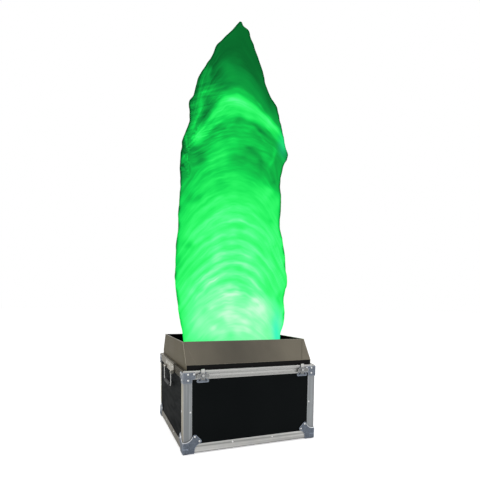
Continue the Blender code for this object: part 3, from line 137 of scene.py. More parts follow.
def ramp(tree, share, stops):
    """A colour ramp through (position, colour) stops."""
    made = add(tree, "ValToRGB", {"Fac": share})
    points = made.color_ramp.elements
    while len(points) < len(stops):
        points.new(0.5)
    for point, (at, colour) in zip(points, stops):
        point.position = at
        point.color = (*colour, 1.0)
    return made.outputs["Color"]


def grey(value):
    """A colour without hue."""
    return (value, value, value)


def mixed(tree, share, first, second, blend="MIX"):
    """Two colours mixed by a share."""
    inputs = {0: share}
    for socket, colour in ((6, first), (7, second)):
        inputs[socket] = colour if isinstance(colour, bpy.types.NodeSocket) else (*colour, 1.0)
    return add(tree, "Mix", inputs, data_type="RGBA", blend_type=blend).outputs[2]


def span(tree, value, low, high, to_low=0.0, to_high=1.0):
    """A value carried from one range to another and held inside it."""
    made = add(tree, "MapRange", {"Value": value, "From Min": low, "From Max": high,
                                  "To Min": to_low, "To Max": to_high})
    return made.outputs["Result"]


def bump(tree, shader, height, distance, strength=1.0):
    """Gives a shader's surface the relief of a height."""
    made = add(tree, "Bump", {"Height": height, "Distance": distance, "Strength": strength})
    give(tree, shader, {"Normal": made.outputs["Normal"]})


def worn_and_highlit_edges(tree, radius):
    """A mask that is 1 where a rounded corner would turn away from the flat face; the materials lighten their
    colour there as a painted highlight, with some wear.
    """
    soft = add(tree, "Bevel", {"Radius": radius}, samples=6).outputs["Normal"]
    flat = add(tree, "NewGeometry").outputs["Normal"]
    turn = add(tree, "VectorMath", {0: soft, 1: flat}, operation="DOT_PRODUCT").outputs["Value"]
    return span(tree, turn, 0.995, 0.86)


def recesses(tree, reach):
    """A mask that is 1 where other surfaces stand close, as beside rivets and under plates; the materials
    darken their colour there as painted shade.
    """
    open_sky = add(tree, "AmbientOcclusion", {"Distance": reach}, samples=6).outputs["AO"]
    return span(tree, open_sky, 0.92, 0.45)


def placed(tree, axis):
    """The place along one axis in the object's own metres."""
    return add(tree, "SeparateXYZ", {"Vector": add(tree, "TexCoord").outputs["Object"]}).outputs[axis]


def tones_along(tree, place, low, high, stops):
    """Greys through (share, tone) stops between two places."""
    return ramp(tree, span(tree, place, low, high), [(at, grey(tone)) for at, tone in stops])


def facing(tree, axis, low, high):
    """A mask of the faces that look along an axis, either way; the mask rises between two slopes."""
    face = add(tree, "NewGeometry").outputs["True Normal"]
    turn = add(tree, "SeparateXYZ", {"Vector": face}).outputs[axis]
    return span(tree, maths(tree, "ABSOLUTE", turn), low, high)


def shades(colour, *shares):
    """A colour at several strengths, none above 0.95."""
    return [tuple(min(c * share, 0.95) for c in colour) for share in shares]


# Materials of the case

def drawn_aluminium(name, along, colour, beside=None, band_shading=None):
    """Anodised extrusion: lines drawn along it, dull patches, painted shade in corners, edges lightened as a
    painted highlight with wear.
    Faces that look along X can have a colour of their own, a painted light on the sides. Band shading is
    painted light and shade in the extrusion's own flat bands: the axis across them, where it starts and ends,
    and (share, tone) stops. They are the same on both sides of the middle, unless they start below it."""
    made, tree, shader = material(name, colour, 0.4, 1.0)
    fine, broad = [900, 900, 900], [230, 230, 230]
    axis = "XYZ".index(along)
    fine[axis], broad[axis] = 5, 1.5
    lines = noise(tree, 1.0, fine, 2.0)
    bands = noise(tree, 1.0, broad, 1.0)
    patches = noise(tree, 22.0, detail=4.0)
    dark, mid, light = shades(colour, 0.80, 1.0, 1.14)
    base = ramp(tree, lines, ((0.3, dark), (0.5, mid), (0.7, light)))
    base = mixed(tree, span(tree, bands, 0.44, 0.58, 0.0, 0.75), base, shades(colour, 0.66)[0])
    dull = mixed(tree, span(tree, patches, 0.52, 0.72, 0.0, 0.45), base, shades(colour, 0.70)[0])
    # Painted light and shade in bands across the extrusion, which also dim its reflections
    if band_shading:
        across, low, high, stops = band_shading
        place = placed(tree, across)
        if low >= 0:
            place = maths(tree, "ABSOLUTE", place)
        tones = tones_along(tree, place, low, high, stops)
        dull = mixed(tree, 1.0, dull, tones, "MULTIPLY")
        give(tree, shader, {"Specular Tint": tones})
    # Painted light on faces that look along X
    if beside:
        dull = mixed(tree, facing(tree, "X", 0.6, 0.8), dull, beside)
    # Painted highlight along the edges, with some wear
    bright = mixed(tree, worn_and_highlit_edges(tree, 0.0012), dull, shades(colour, 1.9)[0])
    # Painted shade where other surfaces stand close
    recess_shaded = mixed(tree, recesses(tree, 0.006), bright, (0.030, 0.028, 0.024))
    give(tree, shader, {"Base Color": recess_shaded, "Roughness": span(tree, patches, 0.35, 0.65, 0.30, 0.46)})
    bump(tree, shader, lines, 0.00004)
    return made


def plated_steel(name, colour, roughness, mottle=0.25, edges=1.7, highlight_reach=0.0014, darker_below=None):
    """Zinc or nickel plating: faintly mottled, lightened along its edges as a painted highlight with some
    wear, with painted shade beside rivets.
    Below a level it can be darker: where that ends, where it starts, and the share of the colour."""
    made, tree, shader = material(name, colour, roughness, 1.0)
    spots = noise(tree, 260.0, detail=4.0)
    clouds = noise(tree, 60.0, detail=3.0)
    dark, light, cloudy, edge = shades(colour, 1 - mottle, 1 + mottle, 0.68, edges)
    base = ramp(tree, spots, ((0.32, dark), (0.55, colour), (0.72, light)))
    base = mixed(tree, span(tree, clouds, 0.5, 0.75, 0.0, 0.6), base, cloudy)
    # Painted highlight along the edges, with some wear
    bright = mixed(tree, worn_and_highlit_edges(tree, highlight_reach), base, edge)
    # Painted shade where other surfaces stand close
    recess_shaded = mixed(tree, recesses(tree, 0.005), bright, (0.020, 0.020, 0.022))
    # Darker below a level
    if darker_below:
        low, high, share = darker_below
        recess_shaded = mixed(tree, span(tree, placed(tree, "Z"), low, high), shades(colour, share)[0], recess_shaded)
    rough = span(tree, clouds, 0.3, 0.7, roughness * 0.8, roughness * 1.25)
    give(tree, shader, {"Base Color": recess_shaded, "Roughness": rough})
    bump(tree, shader, spots, 0.00003)
    return made


def laminate():
    """Black laminate: fine pebble grain, faint clouds and rub marks."""
    made, tree, shader = material("black_laminate", (0.005, 0.006, 0.006), 0.5)
    grain = add(tree, "TexVoronoi", {"Vector": add(tree, "TexCoord").outputs["Object"], "Scale": 900.0})
    rubs = noise(tree, 9.0, (1, 1, 5), 5.0, 0.6)
    cloud = noise(tree, 3.0, detail=2.0)
    base = ramp(tree, cloud, ((0.35, (0.0046, 0.0056, 0.0060)), (0.7, (0.0060, 0.0072, 0.0076))))
    worn = mixed(tree, span(tree, rubs, 0.62, 0.76, 0.0, 0.20), base, (0.012, 0.013, 0.014))
    give(tree, shader, {"Base Color": worn, "Roughness": span(tree, rubs, 0.4, 0.7, 0.50, 0.62),
                        "Specular IOR Level": 0.012})
    bump(tree, shader, grain.outputs["Distance"], 0.00004, 0.5)
    return made


def satin_paint(name, colour, inside=None, sheen=0.5, beside=None, tones=None):
    """Satin powder coat: fine orange peel, and a painted highlight along its folds. Faces that look inwards
    can be another colour, without sheen, as painted shade, and faces that look along X another colour with
    its own sheen, as painted light on the sides.
    Tones, painted light and shade along it, are a peak and (share, tone) stops from left to right."""
    made, tree, shader = material(name, colour, 0.42)
    peel = noise(tree, 1400.0, detail=2.0)
    cloud = noise(tree, 5.0, (1, 1, 0.4), 3.0)
    low, high, fold = shades(colour, 0.74, 1.20, 2.6)
    base = ramp(tree, cloud, ((0.3, low), (0.7, high)))
    gloss = sheen
    # Painted light and shade along the front
    if tones:
        peak, stops = tones
        share = tones_along(tree, placed(tree, "X"), -HALF_W, HALF_W, stops)
        base = mixed(tree, 1.0, base, share, "MULTIPLY")
        base = mixed(tree, 1.0, base, grey(peak), "MULTIPLY")
    # Painted light on faces that look along X, with a sheen of their own
    if beside:
        turned = facing(tree, "X", 0.6, 0.8)
        base = mixed(tree, turned, base, beside[0])
        gloss = span(tree, turned, 0.0, 1.0, sheen, beside[1])
    # Painted highlight along the folds
    lit = mixed(tree, worn_and_highlit_edges(tree, 0.0022), base, fold)
    # Inner faces in another colour without sheen, as painted shade
    if inside:
        place = add(tree, "TexCoord").outputs["Object"]
        level = add(tree, "VectorMath", {0: place, 1: (1, 1, 0)}, operation="MULTIPLY").outputs["Vector"]
        out = add(tree, "VectorMath", {0: level}, operation="NORMALIZE").outputs["Vector"]
        face = add(tree, "NewGeometry").outputs["True Normal"]
        turn = add(tree, "VectorMath", {0: face, 1: out}, operation="DOT_PRODUCT").outputs["Value"]
        outer = span(tree, turn, -0.12, -0.06)
        lit = mixed(tree, outer, inside, lit)
        gloss = maths(tree, "MULTIPLY", outer, gloss)
    give(tree, shader, {"Base Color": lit, "Roughness": span(tree, cloud, 0.3, 0.7, 0.36, 0.5),
                        "Specular IOR Level": gloss})
    bump(tree, shader, peel, 0.00002, 0.5)
    return made


def moulded(name, colour, roughness):
    """Moulded plastic or rubber: fine erosion texture."""
    made, tree, shader = material(name, colour, roughness)
    spark = noise(tree, 2200.0, detail=2.0)
    cloud = noise(tree, 30.0, detail=3.0)
    low, high = shades(colour, 0.8, 1.25)
    base = ramp(tree, cloud, ((0.3, low), (0.7, high)))
    rough = span(tree, spark, 0.3, 0.7, roughness - 0.06, roughness + 0.08)
    give(tree, shader, {"Base Color": base, "Roughness": rough})
    bump(tree, shader, spark, 0.00003, 0.7)
    return made


def lens_plastic():
    """Clear lens strip, lit green from behind."""
    made, tree, shader = material("lit_lens", (0.25, 0.9, 0.4), 0.12)
    glow = noise(tree, 60.0, detail=2.0)
    colour = ramp(tree, glow, ((0.3, (0.03, 0.75, 0.14)), (0.7, (0.25, 1.0, 0.35))))
    give(tree, shader, {"Emission Color": colour, "Emission Strength": 1.2, "Coat Weight": 0.6})
    return made


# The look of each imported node, by how its name starts; the first that fits is taken
FINISHES = (
    ("panel_", "laminate"), ("corner_post", "post"), ("base_edge_front", "edge"),
    ("base_edge_rear", "edge"), ("base_edge_", "side"), ("rim_front", "rim"), ("rim_rear", "rim"),
    ("rim_", "side_rim"), ("ball_corner", "zinc"), ("corner_brace", "brace"), ("latch_plate", "brace"),
    ("latch_hook", "hook"), ("latch_wing", "nickel"), ("lid_hinge", "zinc"), ("handle_plate", "plain"),
    ("handle_bail", "bright"), ("handle_grip", "rubber"), ("deck", "black"), ("collar", "taupe"),
    ("fan_frame", "cast"), ("fan_rotor", "polymer"), ("lamp_housing", "lamp"), ("lamp_lens", "lens"),
    ("silk_bar", "bright"), ("mains_inlet", "plastic"), ("switch_", "plastic"), ("power_supply", "lamp"))
# Pressed plates whose edges are rolled over, their rounded edges painted lighter as a highlight: the width of
# that by their look
ROLLED = {"zinc": 0.0010, "brace": 0.0007}
SOFT_CORNER = 0.0004            # the rounding of every other piece's corners


def make_looks():
    """Every material of the object, by a short name."""
    return {
        "rim": drawn_aluminium("rim_aluminium", "X", (0.53, 0.525, 0.51), band_shading=RIM_BAND_SHADING),
        "edge": drawn_aluminium("edge_aluminium", "X", (0.74, 0.735, 0.715), band_shading=EDGE_BAND_SHADING),
        # Side extrusions: darker, warmer copies of the aluminium, as painted shade on the sides
        "side": drawn_aluminium("shaded_side_aluminium", "Y", (0.25, 0.228, 0.182)),
        "side_rim": drawn_aluminium("shaded_side_rim_aluminium", "Y", (0.27, 0.246, 0.190), band_shading=SIDE_RIM_SHADE),
        # Posts: a warm painted light on their faces that look along X
        "post": drawn_aluminium("post_aluminium", "Z", (0.370, 0.384, 0.402), (0.38, 0.345, 0.27), POST_BAND_SHADING),
        "plain": drawn_aluminium("plain_aluminium", "Y", (0.50, 0.47, 0.40)),
        "lamp": drawn_aluminium("lamp_aluminium", "X", (0.12, 0.12, 0.12)),
        "zinc": plated_steel("zinc_plating", (0.165, 0.190, 0.234), 0.42, 0.34, 2.6, 0.0030),
        "brace": plated_steel("brace_plating", (0.195, 0.216, 0.255), 0.40, 0.32, 2.2, 0.0024),
        # Rounded edges of rolled plates, lighter as a painted highlight
        "edge_line": plated_steel("edge_highlight_plating", (0.52, 0.54, 0.57), 0.34, 0.20, 1.2),
        # Ball corner lips, lighter as a painted highlight
        "lip": plated_steel("lip_highlight_plating", (0.62, 0.64, 0.67), 0.30, 0.12, 1.1),
        "nickel": plated_steel("wing_plating", (0.260, 0.262, 0.262), 0.30, 0.20, 3.4),
        # Hook: darker below the rim's top
        "hook": plated_steel("hook_plating", (0.62, 0.62, 0.60), 0.28, 0.14, 1.4, 0.0014,
                             (RIM_TOP - 0.016, RIM_TOP - 0.004, 0.40)),
        "bright": plated_steel("bright_steel", (0.46, 0.46, 0.45), 0.26, 0.12),
        "rivet": plated_steel("rivet_steel", (0.88, 0.88, 0.87), 0.28, 0.08, 1.1),
        # Latch eyelets, near black as painted shade in their hollows
        "hole": moulded("eyelet_shade", (0.004, 0.004, 0.004), 0.60),
        "laminate": laminate(),
        # Collar: painted shade inside, painted light on its sides and along its front, painted highlight on
        # its folds
        "taupe": satin_paint("taupe_paint", (0.086, 0.075, 0.056), (0.0008, 0.0008, 0.0008), 0.3,
                             ((0.125, 0.108, 0.071), 0.03), (COLLAR_PEAK, COLLAR_SHADING)),
        # Collar hems, lighter as a painted highlight along the bends
        "hem": satin_paint("hem_highlight_paint", (0.17, 0.155, 0.125), sheen=0.3),
        "black": satin_paint("black_paint", (0.003, 0.003, 0.003), sheen=0.10),
        "cast": satin_paint("cast_black", (0.020, 0.020, 0.021)),
        "polymer": moulded("fan_polymer", (0.016, 0.016, 0.017), 0.46),
        "plastic": moulded("moulded_plastic", (0.012, 0.012, 0.013), 0.38),
        "rubber": moulded("grip_rubber", (0.018, 0.018, 0.018), 0.62),
        "lens": lens_plastic(),
    }


def dress_frame(looks):
    """A material, and softened corners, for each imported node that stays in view."""
    for name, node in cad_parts.items():
        look = next((look for stem, look in FINISHES if name.startswith(stem)), None)
        if look is None:
            continue
        node.data.materials.clear()
        node.data.materials.append(looks[look])
        # Rolled plates: their rounded edges take the lighter material, a painted highlight
        if look in ROLLED:
            node.data.materials.append(looks["edge_line"])
            soften(node, ROLLED[look], 1)
        else:
            soften(node, SOFT_CORNER, 0)


def soften(node, width, slot):
    """Closes the node's split facets and rounds its sharp corners, in the material of one of its slots."""
    weld = node.modifiers.new("Weld", "WELD")
    weld.merge_threshold = 0.00001
    flat = node.modifiers.new("Flat faces", "DECIMATE")
    flat.decimate_type = "DISSOLVE"
    flat.angle_limit = math.radians(0.5)
    rounding = node.modifiers.new("Corners", "BEVEL")
    rounding.width = width
    rounding.segments = 2
    rounding.limit_method = "ANGLE"
    rounding.angle_limit = math.radians(40)
    rounding.harden_normals = False
    rounding.material = slot
    weighted = node.modifiers.new("Shading", "WEIGHTED_NORMAL")
    weighted.keep_sharp = True


# Mesh helpers

def in_scene(name, data):
    """A new object of the scene."""
    made = bpy.data.objects.new(name, data)
    bpy.context.scene.collection.objects.link(made)
    return made


def mesh_piece(name, bm, look):
    """A finished piece of the case from a bmesh."""
    bmesh.ops.recalc_face_normals(bm, faces=bm.faces)
    mesh = bpy.data.meshes.new(name)
    bm.to_mesh(mesh)
    bm.free()
    mesh.materials.append(look)
    mesh.shade_smooth()
    mesh.set_sharp_from_angle(angle=math.radians(35))
    made = in_scene(name, mesh)
    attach(made, "case")
    return made


def skin(bm, pairs):
    """Faces between pairs of rings with as many points."""
    for ring, after in pairs:
        for k in range(len(ring)):
            m = (k + 1) % len(ring)
            bm.faces.new((ring[k], ring[m], after[m], after[k]))


def turned_head(bm, place, out, profile, recess):
    """A round head on a face. The profile's points are (radius, height). A recess is the radius that it
    starts at, its number of lobes and how far they swell."""
    turn = Vector(out).to_track_quat("Z", "Y")
    start, lobes, swell = recess
    rings = []
    for radius, height in profile:
        ring = []
        for k in range(HEAD_SIDES):
            angle = 2 * math.pi * k / HEAD_SIDES
            reach = radius
            if radius <= start:
                reach = radius * (1 + swell * math.cos(lobes * angle))
            point = Vector((reach * math.cos(angle), reach * math.sin(angle), height))
            ring.append(bm.verts.new(Vector(place) + turn @ point))
        rings.append(ring)
    skin(bm, zip(rings, rings[1:]))
    bm.faces.new(rings[0][::-1])
    bm.faces.new(rings[-1])


RIVET = (
    (0.0034, -0.0002), (0.0034, 0.0003), (0.0031, 0.0008), (0.0024, 0.0012), (0.0015, 0.0014),
    (0.0011, 0.0014), (0.0009, 0.0009), (0.0004, 0.0008))
SMALL_RIVET = tuple((radius * 0.6, height * 0.6) for radius, height in RIVET)
EYELET = ((0.0029, -0.0010), (0.0029, 0.0003), (0.0026, 0.0005), (0.0019, 0.0001), (0.0010, -0.0002))
PIN_CAP = ((0.0046, -0.0003), (0.0044, 0.0002), (0.0036, 0.0005), (0.0020, 0.0007), (0.0006, 0.0007))
SCREW = (
    (0.0038, -0.0002), (0.0038, 0.0008), (0.0034, 0.0016), (0.0026, 0.0021), (0.0021, 0.0022),
    (0.0019, 0.0012), (0.0006, 0.0011))
CROSS_RECESS = (0.0022, 4, 0.35)
HEAD_SIDES = 20
WIRE_SIDES = 8


def heads(name, places, profile, look, recess=(0, 0, 0)):
    """Many equal heads as one piece on the case."""
    bm = bmesh.new()
    for place, out in places:
        turned_head(bm, place, out, profile, recess)
    return mesh_piece(name, bm, look)


def tube(bm, points, radius, closed=False):
    """A round wire along points, with capped ends where it is open."""
    count = len(points)
    rings = []
    for i, here in enumerate(points):
        back = points[i - 1] if closed or i else here
        ahead = points[(i + 1) % count] if closed or i < count - 1 else here
        along = (Vector(ahead) - Vector(back)).normalized()
        side = along.cross(Vector((0, 0, 1)))
        side = side.normalized() if side.length > 1e-6 else Vector((1, 0, 0))
        up = side.cross(along)
        ring = []
        for k in range(WIRE_SIDES):
            angle = 2 * math.pi * k / WIRE_SIDES
            ring.append(bm.verts.new(Vector(here) + radius * (math.cos(angle) * side + math.sin(angle) * up)))
        rings.append(ring)
    skin(bm, zip(rings, rings[1:]))
    if closed:
        skin(bm, [(rings[-1], rings[0])])
    else:
        bm.faces.new(rings[0][::-1])
        bm.faces.new(rings[-1])


# Rivets, lips and hems

# A corner brace's rivets: along the face from its corner, and height from the rim's top
CORNER_RIVETS = ((0.016, -0.0115), (0.016, -0.0310), (0.036, -0.0115))
LOBE_NEAR = 0.039               # a ball corner's rivets, from its corner and from the base edge
LOBE_FAR = 0.055
POST_RIVET_IN = 0.024
EDGE_RIVET_X = 0.076
EDGE_RIVET_UP = 0.022
HANDLE_RIVETS = (-0.060, 0.0, 0.060)
HANDLE_RIVET_DROP = 0.014       # from the rim's top
LATCH_RIVETS = (-0.011, 0.011)
LATCH_RIVET_DROP = 0.032        # from the rim's top
HINGE_RIVETS = (0.008, 0.042)   # from the hinge's end
HINGE_RIVET_DROP = 0.018        # from the hinge's top
# Outer faces of the plates, from the case
BALL_FACE = 0.0018
HANDLE_FACE = 0.0015
LATCH_FACE = 0.0015
HINGE_FACE = 0.0018
PIN_END = 0.0070                # outer end of a latch's pin, from the case
# The rolled lip of a ball corner: its hollow's centre and sweep on a leaf, first and last angle
LIP_CENTRE = (0.006, 0.06497)
LIP_SWEEP = 0.0276
LIP_FIRST = -20
LIP_LAST = -90
LIP_STEPS = 12
LIP_OUT = 0.0014
LIP_TURN = 0.7                  # the share of that on both sides where the lip turns the corner
LIP_R = 0.0018
HEM_R = 0.0010
HEM_LAP = 0.0015                # the side walls' folds lap over the front wall by this
TOP_EDGE = 0.0001               # vertices this near a wall's top are on it


def on_face(face, sign, run, height, out=0.0):
    """A point and a normal on one of the case's four upright faces."""
    if face == "end":
        return (run, sign * (HALF_D + out), height), (0, sign, 0)
    return (sign * (HALF_W + out), run, height), (sign, 0, 0)


def case_rivets(looks):
    """Rivets of the extrusions, braces, ball corners and handles."""
    places = []
    middle = (EDGE_LOW + RIM_TOP) / 2
    for face, half in (("end", HALF_W), ("side", HALF_D)):
        for sign in (-1, 1):
            for run in (-EDGE_RIVET_X, EDGE_RIVET_X):
                places.append(on_face(face, sign, run, EDGE_LOW + EDGE_RIVET_UP))
            for hand in (-1, 1):
                corner = hand * half
                places.append(on_face(face, sign, corner - hand * POST_RIVET_IN, middle))
                for along, drop in CORNER_RIVETS:
                    places.append(on_face(face, sign, corner - hand * along, RIM_TOP + drop, BRACE_FACE))
                for along, up in ((LOBE_NEAR, LOBE_FAR), (LOBE_FAR, LOBE_NEAR)):
                    places.append(on_face(face, sign, corner - hand * along, EDGE_LOW + up, BALL_FACE))
    for sign in (-1, 1):
        for run in HANDLE_RIVETS:
            places.append(on_face("side", sign, run, RIM_TOP - HANDLE_RIVET_DROP, HANDLE_FACE))
    heads("case_rivets", places, RIVET, looks["rivet"])


def latch_rivets(looks):
    """Eyelets that hold the latches' plates, and the caps of their pins."""
    eyelets = []
    pins = []
    for side, _ in SIDES:
        low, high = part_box("latch_plate_" + side)
        middle = (low.x + high.x) / 2
        for run in LATCH_RIVETS:
            eyelets.append(on_face("end", -1, middle + run, RIM_TOP - LATCH_RIVET_DROP, LATCH_FACE))
        low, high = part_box("latch_wing_" + side)
        pins.append(on_face("end", -1, (low.x + high.x) / 2, (low.z + high.z) / 2, PIN_END))
    # The eyelets' near-black colour is painted shade in their hollows
    heads("latch_rivets", eyelets, EYELET, looks["hole"])
    heads("latch_pin_caps", pins, PIN_CAP, looks["bright"])


def hinge_rivets(looks):
    """Rivets of the lid's hinge halves on the rear."""
    places = []
    for side, _ in SIDES:
        low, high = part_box("lid_hinge_" + side)
        for run in HINGE_RIVETS:
            places.append(on_face("end", 1, low.x + run, high.z - HINGE_RIVET_DROP, HINGE_FACE))
    heads("hinge_rivets", places, RIVET, looks["bright"])


def rolled_lips(looks):
    """Rolled lips along the ball corners' upper edges: down the hollow of one leaf and up the other's."""
    hollow = []
    for k in range(LIP_STEPS + 1):
        angle = math.radians(LIP_FIRST + (LIP_LAST - LIP_FIRST) * k / LIP_STEPS)
        hollow.append((LIP_CENTRE[0] + LIP_SWEEP * math.cos(angle),
                       LIP_CENTRE[1] + LIP_SWEEP * math.sin(angle)))
    foot = hollow[-1][1]
    turn = -LIP_TURN * LIP_OUT
    path = [(along, -LIP_OUT, up) for along, up in hollow]
    path += [(0.0, -LIP_OUT, foot), (turn, turn, foot), (-LIP_OUT, 0.0, foot)]
    path += [(-LIP_OUT, along, up) for along, up in reversed(hollow)]
    bm = bmesh.new()
    for sign_x in (-1, 1):
        for sign_y in (-1, 1):
            run = [(sign_x * (HALF_W - u), sign_y * (HALF_D - v), EDGE_LOW + up) for u, v, up in path]
            tube(bm, run, LIP_R)
    # The lips' light plating is a painted highlight along the hollows' edges
    mesh_piece("ball_corner_lips", bm, looks["lip"])


def hem_highlights(looks):
    """Hems of the collar's side walls, along their tops and front corners, in a lighter paint as a painted
    highlight on these bends.
    """
    bm = bmesh.new()
    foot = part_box("collar_front")[0]
    for side, sign in SIDES:
        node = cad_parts["collar_" + side]
        low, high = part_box("collar_" + side)
        wall = sign * max(abs(low.x), abs(high.x))
        mouth = max(v.co.y for v in node.data.vertices if v.co.z > high.z - TOP_EDGE)
        tube(bm, [(wall, -mouth, high.z), (wall, mouth, high.z)], HEM_R)
        tube(bm, [(wall, -mouth, high.z), (wall, foot.y - HEM_LAP, foot.z)], HEM_R / 2)
    mesh_piece("collar_hems", bm, looks["hem"])


# Screws and guards

FAN_SCREW_IN = 0.010            # from the fan frame's sides
SCREW_SUNK = 0.0003
INLET_SCREWS = (-0.020, 0.020)
GUARD_WIRE = 0.0010
GUARD_LIFT = 3.1                # the rings' height above the deck, in wires; they lie on the spokes
GUARD_RINGS = (0.022, 0.036, 0.050, 0.064, 0.078, 0.091)
GUARD_SPOKE = (0.022, 0.060, 0.120)
GUARD_SIDES = 64


def screws(looks):
    """Screws that hold the fans under the deck and the inlet in the rear panel."""
    places = []
    for side, _ in SIDES:
        low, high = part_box("fan_frame_" + side)
        centre = (low + high) / 2
        reach = (high.x - low.x) / 2 - FAN_SCREW_IN
        for u in (-reach, reach):
            for v in (-reach, reach):
                places.append(((centre.x + u, centre.y + v, DECK_TOP - SCREW_SUNK), (0, 0, 1)))
    heads("deck_screws", places, SCREW, looks["zinc"], CROSS_RECESS)
    low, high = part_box("mains_inlet")
    middle = (low + high) / 2
    places = [((middle.x + run, high.y, middle.z), (0, 1, 0)) for run in INLET_SCREWS]
    heads("inlet_screws", places, SMALL_RIVET, looks["bright"])


def around(centre, radius, angle, height):
    """A place on a circle about a centre."""
    return (centre.x + radius * math.cos(angle), centre.y + radius * math.sin(angle), height)


def fan_guards(looks):
    """Wire guards that lie on the deck over the throats."""
    for side, _ in SIDES:
        low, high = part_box("fan_frame_" + side)
        centre = (low + high) / 2
        bm = bmesh.new()
        for radius in GUARD_RINGS:
            ring = [around(centre, radius, 2 * math.pi * k / GUARD_SIDES, DECK_TOP + GUARD_LIFT * GUARD_WIRE)
                    for k in range(GUARD_SIDES)]
            tube(bm, ring, GUARD_WIRE, closed=True)
        for k in range(4):
            angle = math.radians(45 + 90 * k)
            spoke = [around(centre, radius, angle, DECK_TOP + GUARD_WIRE) for radius in GUARD_SPOKE]
            tube(bm, spoke, GUARD_WIRE)
        mesh_piece("fan_guard_" + side, bm, looks["bright"])


# Silk

SILK_H = SILK_BOX[1].z - SILK_BOX[0].z
SILK_LEFT = -SILK_BOX[0].x
SILK_RIGHT = SILK_BOX[1].x
SILK_T = 0.0004
# The main folds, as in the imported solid: ripples, bowed and slanted, on a slow billow, still at the bar
SILK_RIPPLE = 0.008
SILK_RIPPLE_PITCH = 0.150
SILK_BOW_R = 0.555
SILK_SLANT = math.tan(math.radians(4.1))
SILK_BILLOW = 0.024
SILK_BILLOWS = 1.5
SILK_STILL = 0.120
SILK_FLUTTER = 0.004            # how far the edges flutter, and how far in from them
SILK_FLUTTER_IN = 0.022
SILK_ROWS = 460
SILK_COLUMNS = 112
# The flame's edges: share of the height, then share of the reach to that side
SILK_LEFT_EDGE = (
    (0.0, 0.82), (0.1, 0.87), (0.15, 0.91), (0.21, 0.965), (0.29, 0.99), (0.39, 0.97), (0.48, 0.94),
    (0.61, 0.91), (0.64, 0.88), (0.68, 0.78), (0.71, 0.745), (0.75, 0.75), (0.78, 0.66), (0.83, 0.58),
    (0.88, 0.41), (0.912, 0.315), (0.93, 0.275), (0.945, 0.19), (0.97, 0.035), (1.0, -0.1))
SILK_RIGHT_EDGE = (
    (0.0, 0.83), (0.06, 0.886), (0.08, 0.902), (0.11, 0.965), (0.15, 0.99), (0.2, 1.0), (0.29, 0.99),
    (0.33, 0.95), (0.38, 0.85), (0.45, 0.8), (0.55, 0.8), (0.6, 0.83), (0.645, 0.96), (0.67, 0.92),
    (0.72, 0.87), (0.79, 0.8), (0.82, 0.66), (0.85, 0.57), (0.9, 0.52), (0.95, 0.34), (0.965, 0.27),
    (0.983, 0.23), (0.989, 0.155), (1.0, 0.12))
SILK_TIP_W = 0.004              # the least width of the tip
CROWN_X = 0.022                 # where the arched wrinkles are highest
ARCH_REACH = 0.24               # from there to the silk's sides, about
# How lines fall beside their crown: a drop, the distance that it is reached at, and the power
ARCH_LEFT = (0.19, ARCH_REACH, 2.1)
ARCH_RIGHT = (0.235, ARCH_REACH, 2.1)
BAND_LOW_RIGHT = (0.075, 0.179, 2.2)
BAND_HIGH_LEFT = (0.094, 0.118, 1.9)
BAND_HIGH_RIGHT = (0.160, 0.200, 1.7)
BAND_LOW_BEND = 0.075           # on its left the band's lower edge is round, then straight
BAND_LOW_SLOPE = 1.15
BANDED = (0.97, 1.20)           # between these heights the arches turn into the band's
WRINKLE_PITCH = 0.0443
WRINKLE_CREST = 0.754           # height of one wrinkle's crest at the crown
WRINKLE_DEPTH = 0.0022
UPPER = (0.82, 1.12)            # between these heights the wrinkles give way to wisps
# Layers of drift: strength, cells per unit across and up, and seed
RAGGED_LEFT = ((0.0014, 70, 1, 3), (0.0020, 24, 1, 4))
RAGGED_RIGHT = ((0.0014, 70, 1, 5), (0.0020, 24, 1, 6))
WARP = ((0.9, 9, 9, 11), (0.5, 27, 27, 12))
WISPS = ((0.50, 9, 38, 21), (0.50, 15, 85, 22), (0.45, 32, 170, 23), (0.20, 60, 330, 24))
STREAKS = ((1.0, 10, 120, 26), (0.6, 18, 220, 27))
CLOUDS = ((0.035, 15, 11, 17), (0.030, 30, 24, 18))
# Where the wrinkles show most: x, height above the floor, half width, half height
WRINKLED = ((0.075, 0.800, 0.075, 0.110), (-0.060, 0.675, 0.090, 0.080), (0.020, 0.690, 0.180, 0.100),
            (-0.110, 0.880, 0.070, 0.060))
FOLD_DEPTH = 0.010              # how far a fold of full strength stands out
# The bright band under the tip: its two edges at the crown, as heights above the floor
BAND_LOW = 1.250
BAND_HIGH = 1.370
BAND_CROWN_X = 0.030
BAND_LEFT = (0.03, 0.15)        # over these distances left of its crown it breaks up in streaks
STREAK_SLOPE = 0.5
STREAK_BEND = 0.03
STREAK_WAVE = 0.016
STREAKS_IN = (0.0, 0.07)        # they show from these distances left of the crown, between these heights
STREAKS_LOW = (1.10, 1.16)
STREAKS_HIGH = (1.36, 1.42)
# Its light by the share of the way across it
BAND_GLOW = (
    (-0.15, 0.42), (0.0, 0.48), (0.12, 0.58), (0.3, 0.66), (0.52, 0.69), (0.7, 0.65), (0.8, 0.53),
    (0.87, 0.41), (0.94, 0.44), (1.05, 0.36))
# Light on the silk by height above the bar, from 0, dark green, to 1, nearly white
GLOW_BY_HEIGHT = (
    (0.0, 0.82), (0.1, 0.89), (0.13, 0.93), (0.2, 0.95), (0.27, 0.92), (0.33, 0.87), (0.42, 0.82),
    (0.49, 0.79), (0.57, 0.76), (0.64, 0.69), (0.7, 0.61), (0.76, 0.51), (0.82, 0.45), (0.88, 0.42),
    (0.95, 0.38), (0.99, 0.38), (1.03, 0.33), (1.095, 0.28), (1.15, 0.22), (1.2, 0.12), (1.34, 0.09))
